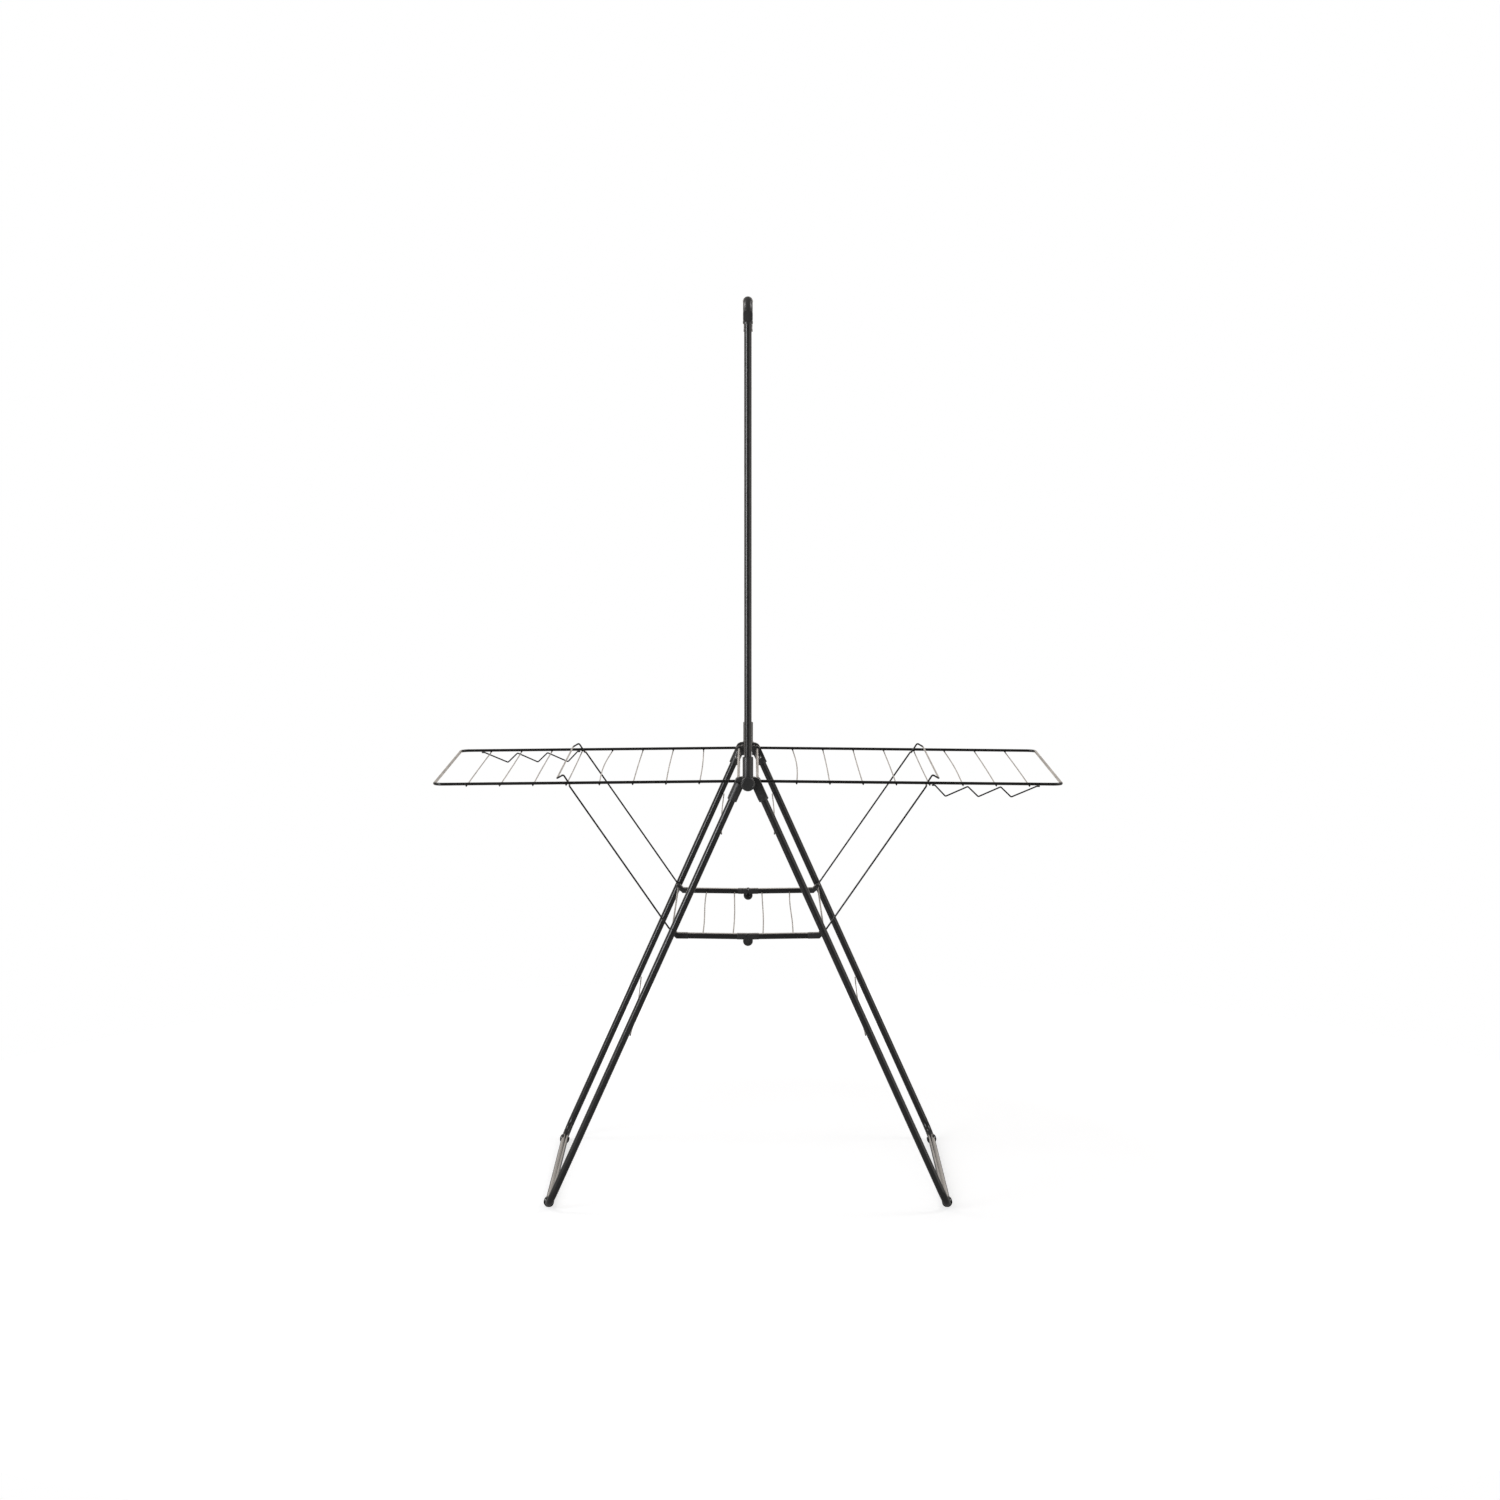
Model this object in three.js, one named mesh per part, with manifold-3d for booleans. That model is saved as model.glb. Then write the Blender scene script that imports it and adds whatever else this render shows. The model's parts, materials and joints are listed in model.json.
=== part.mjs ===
// Free-standing clothes airer: two hinged leg frames, two fold-down wings on wire supports,
// a folding brace shelf between the legs and a raised hanger rod. Millimetres, +Z up.
// Origin: on the floor under the middle of the airer. X runs across the wings, Y along the drying lines.
import * as THREE from 'three';
import { mergeVertices } from 'three/addons/utils/BufferGeometryUtils.js';
import Module from 'manifold-3d';

const wasm = await Module();
wasm.setup();

// ---- driving dimensions -------------------------------------------------------------------------
const GAP = 0.3; // clearance between pieces that touch

const HUB_Z = 886.5; // height of the main pivot axis, which runs along Y
const LEAN = Math.atan(0.45); // angle of an open leg frame from the vertical
const TUBE_R = 7.5; // leg tubes and hanger rod
const TUBE_WALL = 1.2;

const LEG_Y = 320; // depth of the leg tubes, either side of the middle
const LEG_OFFSET = 14.5; // leg centreline to the pivot axis
const LEG_TOP = 17; // start of the tube below the pivot axis, measured along the leg
const FLOOR_BAR_Z = 10.2;
const LEG_BEND_R = 40;

const FOOT_RING_R = 10.6;
const FOOT_RING_WIDTH = 13;
const FOOT_RING_Y = 268;

const CROSS_WIRE_S = [118, 571]; // thin wires across each leg frame, measured along the leg
const LINE_R = 1.3; // drying lines and leg cross-wires

const CONNECTOR_R = 10.2; // plastic sleeve over the top of a leg tube
const CONNECTOR_START = 9; // its two ends, measured along the leg
const CONNECTOR_END = 47.8;
const EYE_R = 12.6;
const EYE_THICKNESS = 9.6;
const EYE_SHIFT = 0.3; // the eyes of the two legs lie on either side of LEG_Y

const LUG_Y = 283; // inner end of the lug that holds a wing's inner bar
const LUG_WIDTH = 7;
const LUG_R = 6.4;
const LUG_ARM_X = [8.5, 15.7];
const LUG_ARM_Z = [-14.5, 7]; // above the main pivot axis

const BOLT_R = 4;
const BOLT_HEAD_R = 7.5;
const BOLT_HEAD = 3;
const BOLT_TAIL_R = 7;

const ROD_Y = 341.5; // depth of the hanger-rod uprights
const ROD_BOTTOM = 904;
const ROD_TOP = 1814;
const SOCKET_R = 10.8;
const SOCKET_TOP = 940;
const CAP_R = 14.4;
const CAP_FACE = 2.8; // thickness of the cap in front of the bolt's head
const BOSS_R = 13.6;

const CORNER_R = 10; // plastic corner piece of the hanger rod
const CORNER_BOTTOM = 1800.5;
const TOP_BAR_Z = 1846;
const CORNER_BEND_R = 25;
const CORNER_END_Y = 300;
const CORNER_GRIP = 12; // length of top bar inside a corner piece
const FACE_WIDTH = 19.4; // flat pad on the outside of the corner piece
const FACE_HEIGHT = 22;
const FACE_LOW = CORNER_BOTTOM + 4;
const FACE_CORNER = 5;
const FACE_Y = [3, 11.4]; // outside the middle of the upright

const WING_PIVOT_X = 19.5; // inner bar of a wing, level with the main pivot
const WING_DROOP = THREE.MathUtils.degToRad(0.6);
const WING_LENGTH = 615.5; // inner bar to outer bar, centre to centre
const RAIL_Y = 304;
const RAIL_R = 3;
const INNER_CORNER_R = 12;
const OUTER_CORNER_R = 18;
const LINE_COUNT = 8;
const LINE_FIRST = 79; // first drying line, measured from the wing pivot
const LINE_PITCH = 67.2;
const LINE_DROP = RAIL_R + LINE_R + GAP; // the lines lie under the rails
const LINE_OVERHANG = 4.5;

const HOOK_WIRE_R = 1.5; // saw-tooth wire for small hangers, under one rail of each wing
const HOOK_FIRST_VALLEY = 380;
const HOOK_PITCH = 66.4;
const HOOK_STEEP_RUN = 21.5;
const HOOK_DEPTH = 22;
const HOOK_TEETH = 3;
const HOOK_CREST_DROP = 1.6; // the crests between teeth stay just clear of the rail
const HOOK_CORNER_R = 3;
const HOOK_TAIL = 6.5; // straight ends welded under the rail

const ARM_PIVOT = { x: 154.5, z: 578.6 }; // support arm and brace pivot on a leg
const ARM_R = 1.8;
const ARM_Y = 310.1;
const ARM_STUB_Y = 304.3;
const ARM_HOOK_Y = 290;
const ARM_SHOULDER = { x: 360.5, z: 877.5 };
const ARM_PEAK = { x: 373.7, z: 898 };
const ARM_TIP = { x: 386.6, z: 890.6 };

const KNUCKLE_Z = 558.5; // centre hinge of the brace
const KNUCKLE_R = 10;
const KNUCKLE_PIN_R = 2.4;
const KNUCKLE_PIN_HEAD = { radius: 4.6, height: 1.4 };
const BRACE_Y = 294;
const BRACE_THICKNESS = 16;
const BRACE_HEIGHT = 10.4;
const BRACE_INNER = { x: 0.25, z: 567.3 };
const BRACE_OUTER = { x: 146, z: 569.4 };
const BRACE_EAR_R = 5.6;
const BRACE_LINE_X = [30.5, 92];

const STEEL_SIDES = 16; // facets round a tube, a rail, a wire and a moulded piece
const RAIL_SIDES = 12;
const WIRE_SIDES = 8;
const ROUND_SIDES = 20;

// ---- materials ----------------------------------------------------------------------------------
const paint = (color, roughness, metalness) => (
  new THREE.MeshStandardMaterial({ color, roughness, metalness })
);
const tubeFinish = () => paint(0x2b2b2d, 0.42, 0.3);
const wireFinish = () => paint(0x262627, 0.4, 0.3);
const plasticFinish = () => paint(0x303032, 0.62, 0);
const rubberFinish = () => paint(0x1e1e1f, 0.8, 0);
const pinFinish = () => paint(0xb9b6b1, 0.3, 1);

// ---- solids -------------------------------------------------------------------------------------
function toSolid(geometry) {
  const bare = new THREE.BufferGeometry();
  bare.setAttribute('position', geometry.getAttribute('position'));
  if (geometry.index) bare.setIndex(geometry.index);
  const merged = mergeVertices(bare, 1e-4);
  return new wasm.Manifold(new wasm.Mesh({
    numProp: 3,
    vertProperties: new Float32Array(merged.getAttribute('position').array),
    triVerts: new Uint32Array(merged.index.array),
  }));
}

function toGeometry(solid) {
  const mesh = solid.getMesh();
  const geometry = new THREE.BufferGeometry();
  geometry.setAttribute('position', new THREE.BufferAttribute(mesh.vertProperties, 3));
  geometry.setIndex(new THREE.BufferAttribute(mesh.triVerts, 1));
  geometry.computeVertexNormals();
  return geometry;
}

const join = (...geometries) => geometries.map(toSolid).reduce((a, b) => a.add(b));
const cut = (solid, ...geometries) => geometries.map(toSolid).reduce((a, b) => a.subtract(b), solid);

// A path of straight runs with rounded corners: each corner is { point, radius }.
class BentPath extends THREE.Curve {
  constructor(corners, stepAngle = Math.PI / 7) {
    super();
    this.points = [];
    corners.forEach(({ point, radius }, i) => {
      if (!radius) {
        this.points.push(point.clone());
        return;
      }
      const before = corners[i - 1].point.clone().sub(point).normalize();
      const after = corners[i + 1].point.clone().sub(point).normalize();
      const half = before.angleTo(after) / 2;
      const setback = radius / Math.tan(half);
      const middle = before.clone().add(after).normalize();
      const centre = point.clone().addScaledVector(middle, radius / Math.sin(half));
      const from = point.clone().addScaledVector(before, setback).sub(centre);
      const to = point.clone().addScaledVector(after, setback).sub(centre);
      const axis = from.clone().cross(to).normalize();
      const turn = Math.PI - 2 * half;
      const steps = Math.max(1, Math.ceil(turn / stepAngle));
      for (let k = 0; k <= steps; k += 1) {
        this.points.push(from.clone().applyAxisAngle(axis, (turn * k) / steps).add(centre));
      }
    });
  }

  get steps() {
    return this.points.length - 1;
  }

  getPointAt(u) {
    return this.points[Math.round(u * this.steps)].clone();
  }

  getTangentAt(u) {
    const i = Math.round(u * this.steps);
    const here = this.points[i];
    const towards = (j) => this.points[j].clone().sub(here).normalize();
    const out = i < this.steps ? towards(i + 1) : towards(i - 1).negate();
    const back = i > 0 ? towards(i - 1).negate() : out.clone();
    return out.add(back).normalize();
  }
}

function roundSection(radius, wall) {
  const section = new THREE.Shape().absarc(0, 0, radius, 0, 2 * Math.PI);
  if (wall) section.holes.push(new THREE.Path().absarc(0, 0, radius - wall, 0, 2 * Math.PI, true));
  return section;
}

function sweep(corners, radius, { wall = 0, sides = WIRE_SIDES } = {}) {
  const path = new BentPath(corners);
  return new THREE.ExtrudeGeometry(roundSection(radius, wall), {
    extrudePath: path,
    steps: path.steps,
    curveSegments: sides / 2, // an arc takes two points a segment
  });
}

const at = (x, y, z, radius = 0) => ({ point: new THREE.Vector3(x, y, z), radius });

// A plate drawn in the XZ plane and reaching from y0 to y1.
function plate(outline, y0, y1, sides = ROUND_SIDES) {
  const geometry = new THREE.ExtrudeGeometry(outline, {
    depth: y1 - y0, bevelEnabled: false, curveSegments: sides,
  });
  return geometry.rotateX(Math.PI / 2).translate(0, y1, 0);
}

// A cylinder along Y at (x, z), from y0 to y1.
function disc(x, z, radius, y0, y1, sides = ROUND_SIDES) {
  return new THREE.CylinderGeometry(radius, radius, y1 - y0, sides).translate(x, (y0 + y1) / 2, z);
}

// A solid turned about Y, from { radius, y } steps that start and end on the axis.
function turned(steps, x, z) {
  const profile = steps.map(({ radius, y }) => new THREE.Vector2(radius, y));
  return new THREE.LatheGeometry(profile, ROUND_SIDES).translate(x, 0, z);
}

function box(x0, x1, y0, y1, z0, z1) {
  return new THREE.BoxGeometry(x1 - x0, y1 - y0, z1 - z0)
    .translate((x0 + x1) / 2, (y0 + y1) / 2, (z0 + z1) / 2);
}

// A point on the right leg frame: s down the leg and n outwards, from the main pivot axis.
function onLeg(s, n, y, radius = 0) {
  return at(
    s * Math.sin(LEAN) + n * Math.cos(LEAN),
    y,
    HUB_Z - s * Math.cos(LEAN) + n * Math.sin(LEAN),
    radius,
  );
}

// A point on the right wing: d out from its pivot, h above the middle of its rails.
function onWing(d, h, y, radius = 0) {
  return at(
    WING_PIVOT_X + d * Math.cos(WING_DROOP) + h * Math.sin(WING_DROOP),
    y,
    HUB_Z - d * Math.sin(WING_DROOP) + h * Math.cos(WING_DROOP),
    radius,
  );
}

function part(name, geometry, material) {
  const mesh = new THREE.Mesh(geometry, material);
  mesh.name = name;
  return mesh;
}

// Ranges of depth for the end at side -1 (near) or +1 (far), from two distances to the middle.
const span = (side, a, b) => [side * a, side * b].sort((p, q) => p - q);

const ENDS = [{ end: 'near', side: -1 }, { end: 'far', side: 1 }];

// ---- hub and hanger rod -------------------------------------------------------------------------
const HUB_BACK = LEG_Y + CONNECTOR_R + GAP + 0.1;
const HUB_FRONT = ROD_Y + SOCKET_R;

function hub(side) {
  const barrel = new THREE.CylinderGeometry(SOCKET_R, SOCKET_R, SOCKET_TOP - HUB_Z, ROUND_SIDES)
    .rotateX(Math.PI / 2).translate(0, side * ROD_Y, (SOCKET_TOP + HUB_Z) / 2);
  const boss = disc(0, HUB_Z, BOSS_R, ...span(side, HUB_BACK, HUB_FRONT));
  const depth = SOCKET_TOP - ROD_BOTTOM + 2;
  const socket = new THREE.CylinderGeometry(TUBE_R + GAP, TUBE_R + GAP, depth, ROUND_SIDES)
    .rotateX(Math.PI / 2).translate(0, side * ROD_Y, ROD_BOTTOM - 1 + depth / 2);
  const boltHole = disc(0, HUB_Z, BOLT_R + GAP, ...span(side, HUB_BACK - 1, HUB_FRONT + 1), STEEL_SIDES);
  return toGeometry(cut(join(barrel, boss), socket, boltHole));
}

function pivotBolt(side) {
  const head = HUB_FRONT + GAP;
  const tail = LEG_Y - EYE_SHIFT - EYE_THICKNESS - GAP - 0.1;
  const steps = [
    { radius: 0, y: tail - BOLT_HEAD }, { radius: BOLT_TAIL_R, y: tail - BOLT_HEAD },
    { radius: BOLT_TAIL_R, y: tail }, { radius: BOLT_R, y: tail },
    { radius: BOLT_R, y: head }, { radius: BOLT_HEAD_R, y: head },
    { radius: BOLT_HEAD_R, y: head + BOLT_HEAD }, { radius: 0, y: head + BOLT_HEAD },
  ];
  const bolt = turned(steps, 0, 0);
  return (side < 0 ? bolt.rotateZ(Math.PI) : bolt).translate(0, 0, HUB_Z);
}

function pivotCap(side) {
  const back = HUB_FRONT + GAP;
  const front = back + BOLT_HEAD + CAP_FACE;
  const inside = back + BOLT_HEAD + GAP;
  const hollow = BOLT_HEAD_R + GAP;
  const steps = [
    { radius: 0, y: inside }, { radius: hollow, y: inside }, { radius: hollow, y: back },
    { radius: CAP_R, y: back }, { radius: CAP_R, y: front - 2.2 },
    { radius: CAP_R - 0.8, y: front - 0.9 }, { radius: CAP_R - 2.6, y: front }, { radius: 0, y: front },
  ];
  const cap = turned(steps, 0, 0);
  return (side < 0 ? cap.rotateZ(Math.PI) : cap).translate(0, 0, HUB_Z);
}

const upright = (side) => sweep([at(0, side * ROD_Y, ROD_BOTTOM), at(0, side * ROD_Y, ROD_TOP)], TUBE_R,
  { wall: TUBE_WALL, sides: STEEL_SIDES });

// A rectangle round the Z axis from height low to high, with rounded corners.
function roundedPad(width, low, high, corner) {
  const pad = new THREE.Shape();
  const w = width / 2;
  const middle = (low + high) / 2;
  const h = (high - low) / 2;
  pad.moveTo(0, low);
  for (const [x, z] of [[1, -1], [1, 1], [-1, 1], [-1, -1]]) {
    const alongX = [x * (w - corner), middle + z * h];
    const alongZ = [x * w, middle + z * (h - corner)];
    const [from, to] = x === -z ? [alongX, alongZ] : [alongZ, alongX];
    pad.lineTo(...from);
    pad.quadraticCurveTo(x * w, middle + z * h, ...to);
  }
  pad.closePath();
  return pad;
}

function rodCorner(side) {
  const elbow = sweep([
    at(0, side * ROD_Y, CORNER_BOTTOM),
    at(0, side * ROD_Y, TOP_BAR_Z, CORNER_BEND_R),
    at(0, side * CORNER_END_Y, TOP_BAR_Z),
  ], CORNER_R, { sides: ROUND_SIDES });
  const pad = roundedPad(FACE_WIDTH, FACE_LOW, FACE_LOW + FACE_HEIGHT, FACE_CORNER);
  const face = plate(pad, ...span(side, ROD_Y + FACE_Y[0], ROD_Y + FACE_Y[1]), 3);
  const hole = TUBE_R + GAP;
  const lower = new THREE.CylinderGeometry(hole, hole, 2 * (ROD_TOP - CORNER_BOTTOM + 1), ROUND_SIDES)
    .rotateX(Math.PI / 2).translate(0, side * ROD_Y, CORNER_BOTTOM);
  const inner = disc(0, TOP_BAR_Z, hole, ...span(side, CORNER_END_Y - 2, CORNER_END_Y + CORNER_GRIP + 1.5));
  return toGeometry(cut(join(elbow, face), lower, inner));
}

function topBar() {
  const end = CORNER_END_Y + CORNER_GRIP;
  const ends = [at(0, -end, TOP_BAR_Z), at(0, end, TOP_BAR_Z)];
  return sweep(ends, TUBE_R, { wall: TUBE_WALL, sides: STEEL_SIDES });
}

// ---- leg frame ----------------------------------------------------------------------------------
const LEG_LENGTH = (HUB_Z + LEG_OFFSET * Math.sin(LEAN) - FLOOR_BAR_Z) / Math.cos(LEAN);

function legFrame() {
  return sweep([
    onLeg(LEG_TOP, LEG_OFFSET, -LEG_Y),
    onLeg(LEG_LENGTH, LEG_OFFSET, -LEG_Y, LEG_BEND_R),
    onLeg(LEG_LENGTH, LEG_OFFSET, LEG_Y, LEG_BEND_R),
    onLeg(LEG_TOP, LEG_OFFSET, LEG_Y),
  ], TUBE_R, { wall: TUBE_WALL, sides: STEEL_SIDES });
}

// Outline of a leg connector's eye and cheek, in leg coordinates turned into the XZ plane.
function connectorOutline() {
  const p = (s, n) => {
    const { point } = onLeg(s, n, 0);
    return [point.x, point.z];
  };
  const outer = LEG_OFFSET + CONNECTOR_R;
  const inner = LEG_OFFSET - CONNECTOR_R;
  const meet = Math.sqrt(EYE_R ** 2 - inner ** 2);
  const legAngle = (s, n) => {
    const [x, z] = p(s, n);
    return Math.atan2(z - HUB_Z, x);
  };
  const shape = new THREE.Shape();
  shape.moveTo(...p(CONNECTOR_END - 6, inner));
  shape.lineTo(...p(CONNECTOR_END - 6, outer));
  shape.lineTo(...p(7, outer));
  shape.quadraticCurveTo(...p(-4.5, outer - 2), ...p(-EYE_R * Math.SQRT1_2, EYE_R * Math.SQRT1_2));
  shape.absarc(0, HUB_Z, EYE_R, legAngle(-1, 1), legAngle(meet, inner) + 2 * Math.PI);
  shape.closePath();
  return shape;
}

// The near right eye lies outside the near left one, and the far right eye inside the far left one.
function legConnector(side) {
  const outside = side < 0;
  const eyeFrom = outside ? LEG_Y + EYE_SHIFT : LEG_Y - EYE_SHIFT - EYE_THICKNESS;
  const otherFrom = outside ? LEG_Y - EYE_THICKNESS - 0.5 : LEG_Y + 0.1;
  const alongLeg = (from, to, radius) => {
    const ends = [from, to].map((s) => onLeg(s, LEG_OFFSET, side * LEG_Y));
    return sweep(ends, radius, { sides: ROUND_SIDES });
  };
  const across = (x, radius, from, to) => disc(x, HUB_Z, radius, ...span(side, from, to), STEEL_SIDES);

  const sleeve = alongLeg(CONNECTOR_START, CONNECTOR_END, CONNECTOR_R);
  const cheek = plate(connectorOutline(), ...span(side, eyeFrom, eyeFrom + EYE_THICKNESS), 6);
  const armDepth = span(side, LUG_Y, LEG_Y - 1);
  const arm = box(...LUG_ARM_X, ...armDepth, HUB_Z + LUG_ARM_Z[0], HUB_Z + LUG_ARM_Z[1]);
  const lug = across(WING_PIVOT_X, LUG_R, LUG_Y, LUG_Y + LUG_WIDTH);

  const wingBar = across(WING_PIVOT_X, RAIL_R + GAP, LUG_Y - 1, LUG_Y + LUG_WIDTH + 2);
  const otherEye = across(0, EYE_R + 0.7, otherFrom, otherFrom + EYE_THICKNESS + 0.4);
  const boltHole = across(0, BOLT_R + GAP, LEG_Y - 12, LEG_Y + 12);
  const tube = alongLeg(LEG_TOP - 1, CONNECTOR_END + 5, TUBE_R + GAP);
  return toGeometry(cut(join(sleeve, arm, lug, cheek), wingBar, otherEye, boltHole, tube));
}

// An open rubber ring around the floor bar, worn flat where it stands on the floor.
function footRing(side) {
  const centre = onLeg(LEG_LENGTH, LEG_OFFSET, 0).point;
  const flat = Math.acos(FLOOR_BAR_Z / FOOT_RING_R);
  const slot = { from: THREE.MathUtils.degToRad(105), to: THREE.MathUtils.degToRad(155) };
  const down = 1.5 * Math.PI;
  const outline = new THREE.Shape();
  outline.absarc(centre.x, centre.z, FOOT_RING_R, slot.to, down - flat);
  outline.absarc(centre.x, centre.z, FOOT_RING_R, down + flat, slot.from + 2 * Math.PI);
  outline.absarc(centre.x, centre.z, TUBE_R + 2 * GAP, slot.from + 2 * Math.PI, slot.to, true);
  outline.closePath();
  return plate(outline, ...span(side, FOOT_RING_Y, FOOT_RING_Y + FOOT_RING_WIDTH), 7);
}

function crossWire(s) {
  const n = LEG_OFFSET - TUBE_R - LINE_R - GAP;
  return sweep([onLeg(s, n, -LEG_Y - 2), onLeg(s, n, LEG_Y + 2)], LINE_R);
}

// ---- wing ---------------------------------------------------------------------------------------
// One wire bent round into a loop, butted in the middle of its inner bar.
function wingFrame() {
  return sweep([
    onWing(0, 0, GAP / 2),
    onWing(0, 0, RAIL_Y, INNER_CORNER_R),
    onWing(WING_LENGTH, 0, RAIL_Y, OUTER_CORNER_R),
    onWing(WING_LENGTH, 0, -RAIL_Y, OUTER_CORNER_R),
    onWing(0, 0, -RAIL_Y, INNER_CORNER_R),
    onWing(0, 0, -GAP / 2),
  ], RAIL_R, { sides: RAIL_SIDES });
}

function dryingLine(index) {
  const d = LINE_FIRST + index * LINE_PITCH;
  const end = RAIL_Y + LINE_OVERHANG;
  return sweep([onWing(d, -LINE_DROP, -end), onWing(d, -LINE_DROP, end)], LINE_R);
}

// Saw-tooth wire under the near rail: steep towards the hub, gentle outwards.
function hookWire() {
  const top = -(RAIL_R + HOOK_WIRE_R + GAP + 0.1);
  const on = (d, h, radius) => onWing(d, h, -RAIL_Y, radius);
  const start = HOOK_FIRST_VALLEY - HOOK_STEEP_RUN;
  const points = [on(start - HOOK_TAIL, top), on(start, top, HOOK_CORNER_R)];
  for (let tooth = 0; tooth < HOOK_TEETH; tooth += 1) {
    const low = HOOK_FIRST_VALLEY + tooth * HOOK_PITCH;
    const high = low + HOOK_PITCH - HOOK_STEEP_RUN;
    points.push(on(low, top - HOOK_DEPTH, HOOK_CORNER_R));
    if (tooth < HOOK_TEETH - 1) points.push(on(high, top - HOOK_CREST_DROP, HOOK_CORNER_R));
    else points.push(on(high + HOOK_TAIL, top, HOOK_CORNER_R), on(high + 2 * HOOK_TAIL, top));
  }
  return sweep(points, HOOK_WIRE_R);
}

// ---- wing support -------------------------------------------------------------------------------
// One wire: stub at the leg pivot, arm, shoulder under the rail, hook over a drying line,
// then the bar across the top and the same again on the other side.
function wingSupport() {
  const half = (side) => [
    at(ARM_PIVOT.x, side * ARM_STUB_Y, ARM_PIVOT.z),
    at(ARM_PIVOT.x, side * ARM_Y, ARM_PIVOT.z, 2.6),
    at(ARM_SHOULDER.x, side * ARM_Y, ARM_SHOULDER.z, 4),
    at(ARM_SHOULDER.x, side * ARM_HOOK_Y, ARM_SHOULDER.z, 4),
    at(ARM_PEAK.x, side * ARM_HOOK_Y, ARM_PEAK.z, 3.5),
    at(ARM_TIP.x, side * ARM_HOOK_Y, ARM_TIP.z, 4),
  ];
  return sweep([...half(-1), ...half(1).reverse()], ARM_R);
}

// ---- folding brace ------------------------------------------------------------------------------
function braceOutline() {
  const h = BRACE_HEIGHT / 2;
  const shape = new THREE.Shape();
  shape.moveTo(BRACE_INNER.x, BRACE_INNER.z - h);
  shape.lineTo(BRACE_OUTER.x - 3, BRACE_OUTER.z - h);
  shape.quadraticCurveTo(BRACE_OUTER.x + 3, BRACE_OUTER.z - h, BRACE_OUTER.x + 7, BRACE_OUTER.z - 1);
  shape.absarc(ARM_PIVOT.x, ARM_PIVOT.z, BRACE_EAR_R, -0.25 * Math.PI, 0.9 * Math.PI);
  shape.lineTo(BRACE_OUTER.x, BRACE_OUTER.z + h);
  shape.lineTo(BRACE_INNER.x, BRACE_INNER.z + h);
  shape.closePath();
  return shape;
}

// The near right knuckle leaf lies outside the near left one, and the far right leaf inside.
function braceBar(side) {
  const half = BRACE_THICKNESS / 2;
  const outside = side < 0;
  const leaf = outside ? [BRACE_Y + 0.2, BRACE_Y + half] : [BRACE_Y - half, BRACE_Y - 0.2];
  const other = outside ? [BRACE_Y - half - 1, BRACE_Y + 0.2] : [BRACE_Y - 0.2, BRACE_Y + half + 1];
  const bar = plate(braceOutline(), ...span(side, BRACE_Y - half, BRACE_Y + half), 5);
  const knuckle = disc(0, KNUCKLE_Z, KNUCKLE_R, ...span(side, ...leaf));
  const otherLeaf = disc(0, KNUCKLE_Z, KNUCKLE_R + 0.5, ...span(side, ...other));
  const through = span(side, BRACE_Y - half - 2, BRACE_Y + half + 2);
  const pinHole = disc(0, KNUCKLE_Z, KNUCKLE_PIN_R + GAP, ...through, STEEL_SIDES);
  const shaftHole = disc(ARM_PIVOT.x, ARM_PIVOT.z, ARM_R + GAP, ...through, STEEL_SIDES);
  const joined = cut(toSolid(bar), otherLeaf).add(toSolid(knuckle));
  return toGeometry(cut(joined, pinHole, shaftHole));
}

const BRACE_INNER_FACE = BRACE_Y - BRACE_THICKNESS / 2 - GAP;

function braceLine(x) {
  const along = (x - BRACE_INNER.x) / (BRACE_OUTER.x - BRACE_INNER.x);
  const z = THREE.MathUtils.lerp(BRACE_INNER.z, BRACE_OUTER.z, along);
  return sweep([at(x, -BRACE_INNER_FACE, z), at(x, BRACE_INNER_FACE, z)], LINE_R);
}

const braceShaft = () => sweep([
  at(ARM_PIVOT.x, -ARM_STUB_Y + 0.4, ARM_PIVOT.z), at(ARM_PIVOT.x, ARM_STUB_Y - 0.4, ARM_PIVOT.z),
], ARM_R);

function knucklePin(side) {
  const half = BRACE_THICKNESS / 2 + GAP;
  const { radius, height } = KNUCKLE_PIN_HEAD;
  const steps = [
    { radius: 0, y: -half - height }, { radius, y: -half - height },
    { radius, y: -half }, { radius: KNUCKLE_PIN_R, y: -half },
    { radius: KNUCKLE_PIN_R, y: half }, { radius, y: half },
    { radius, y: half + height }, { radius: 0, y: half + height },
  ];
  return turned(steps, 0, KNUCKLE_Z).translate(0, side * BRACE_Y, 0);
}

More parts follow.
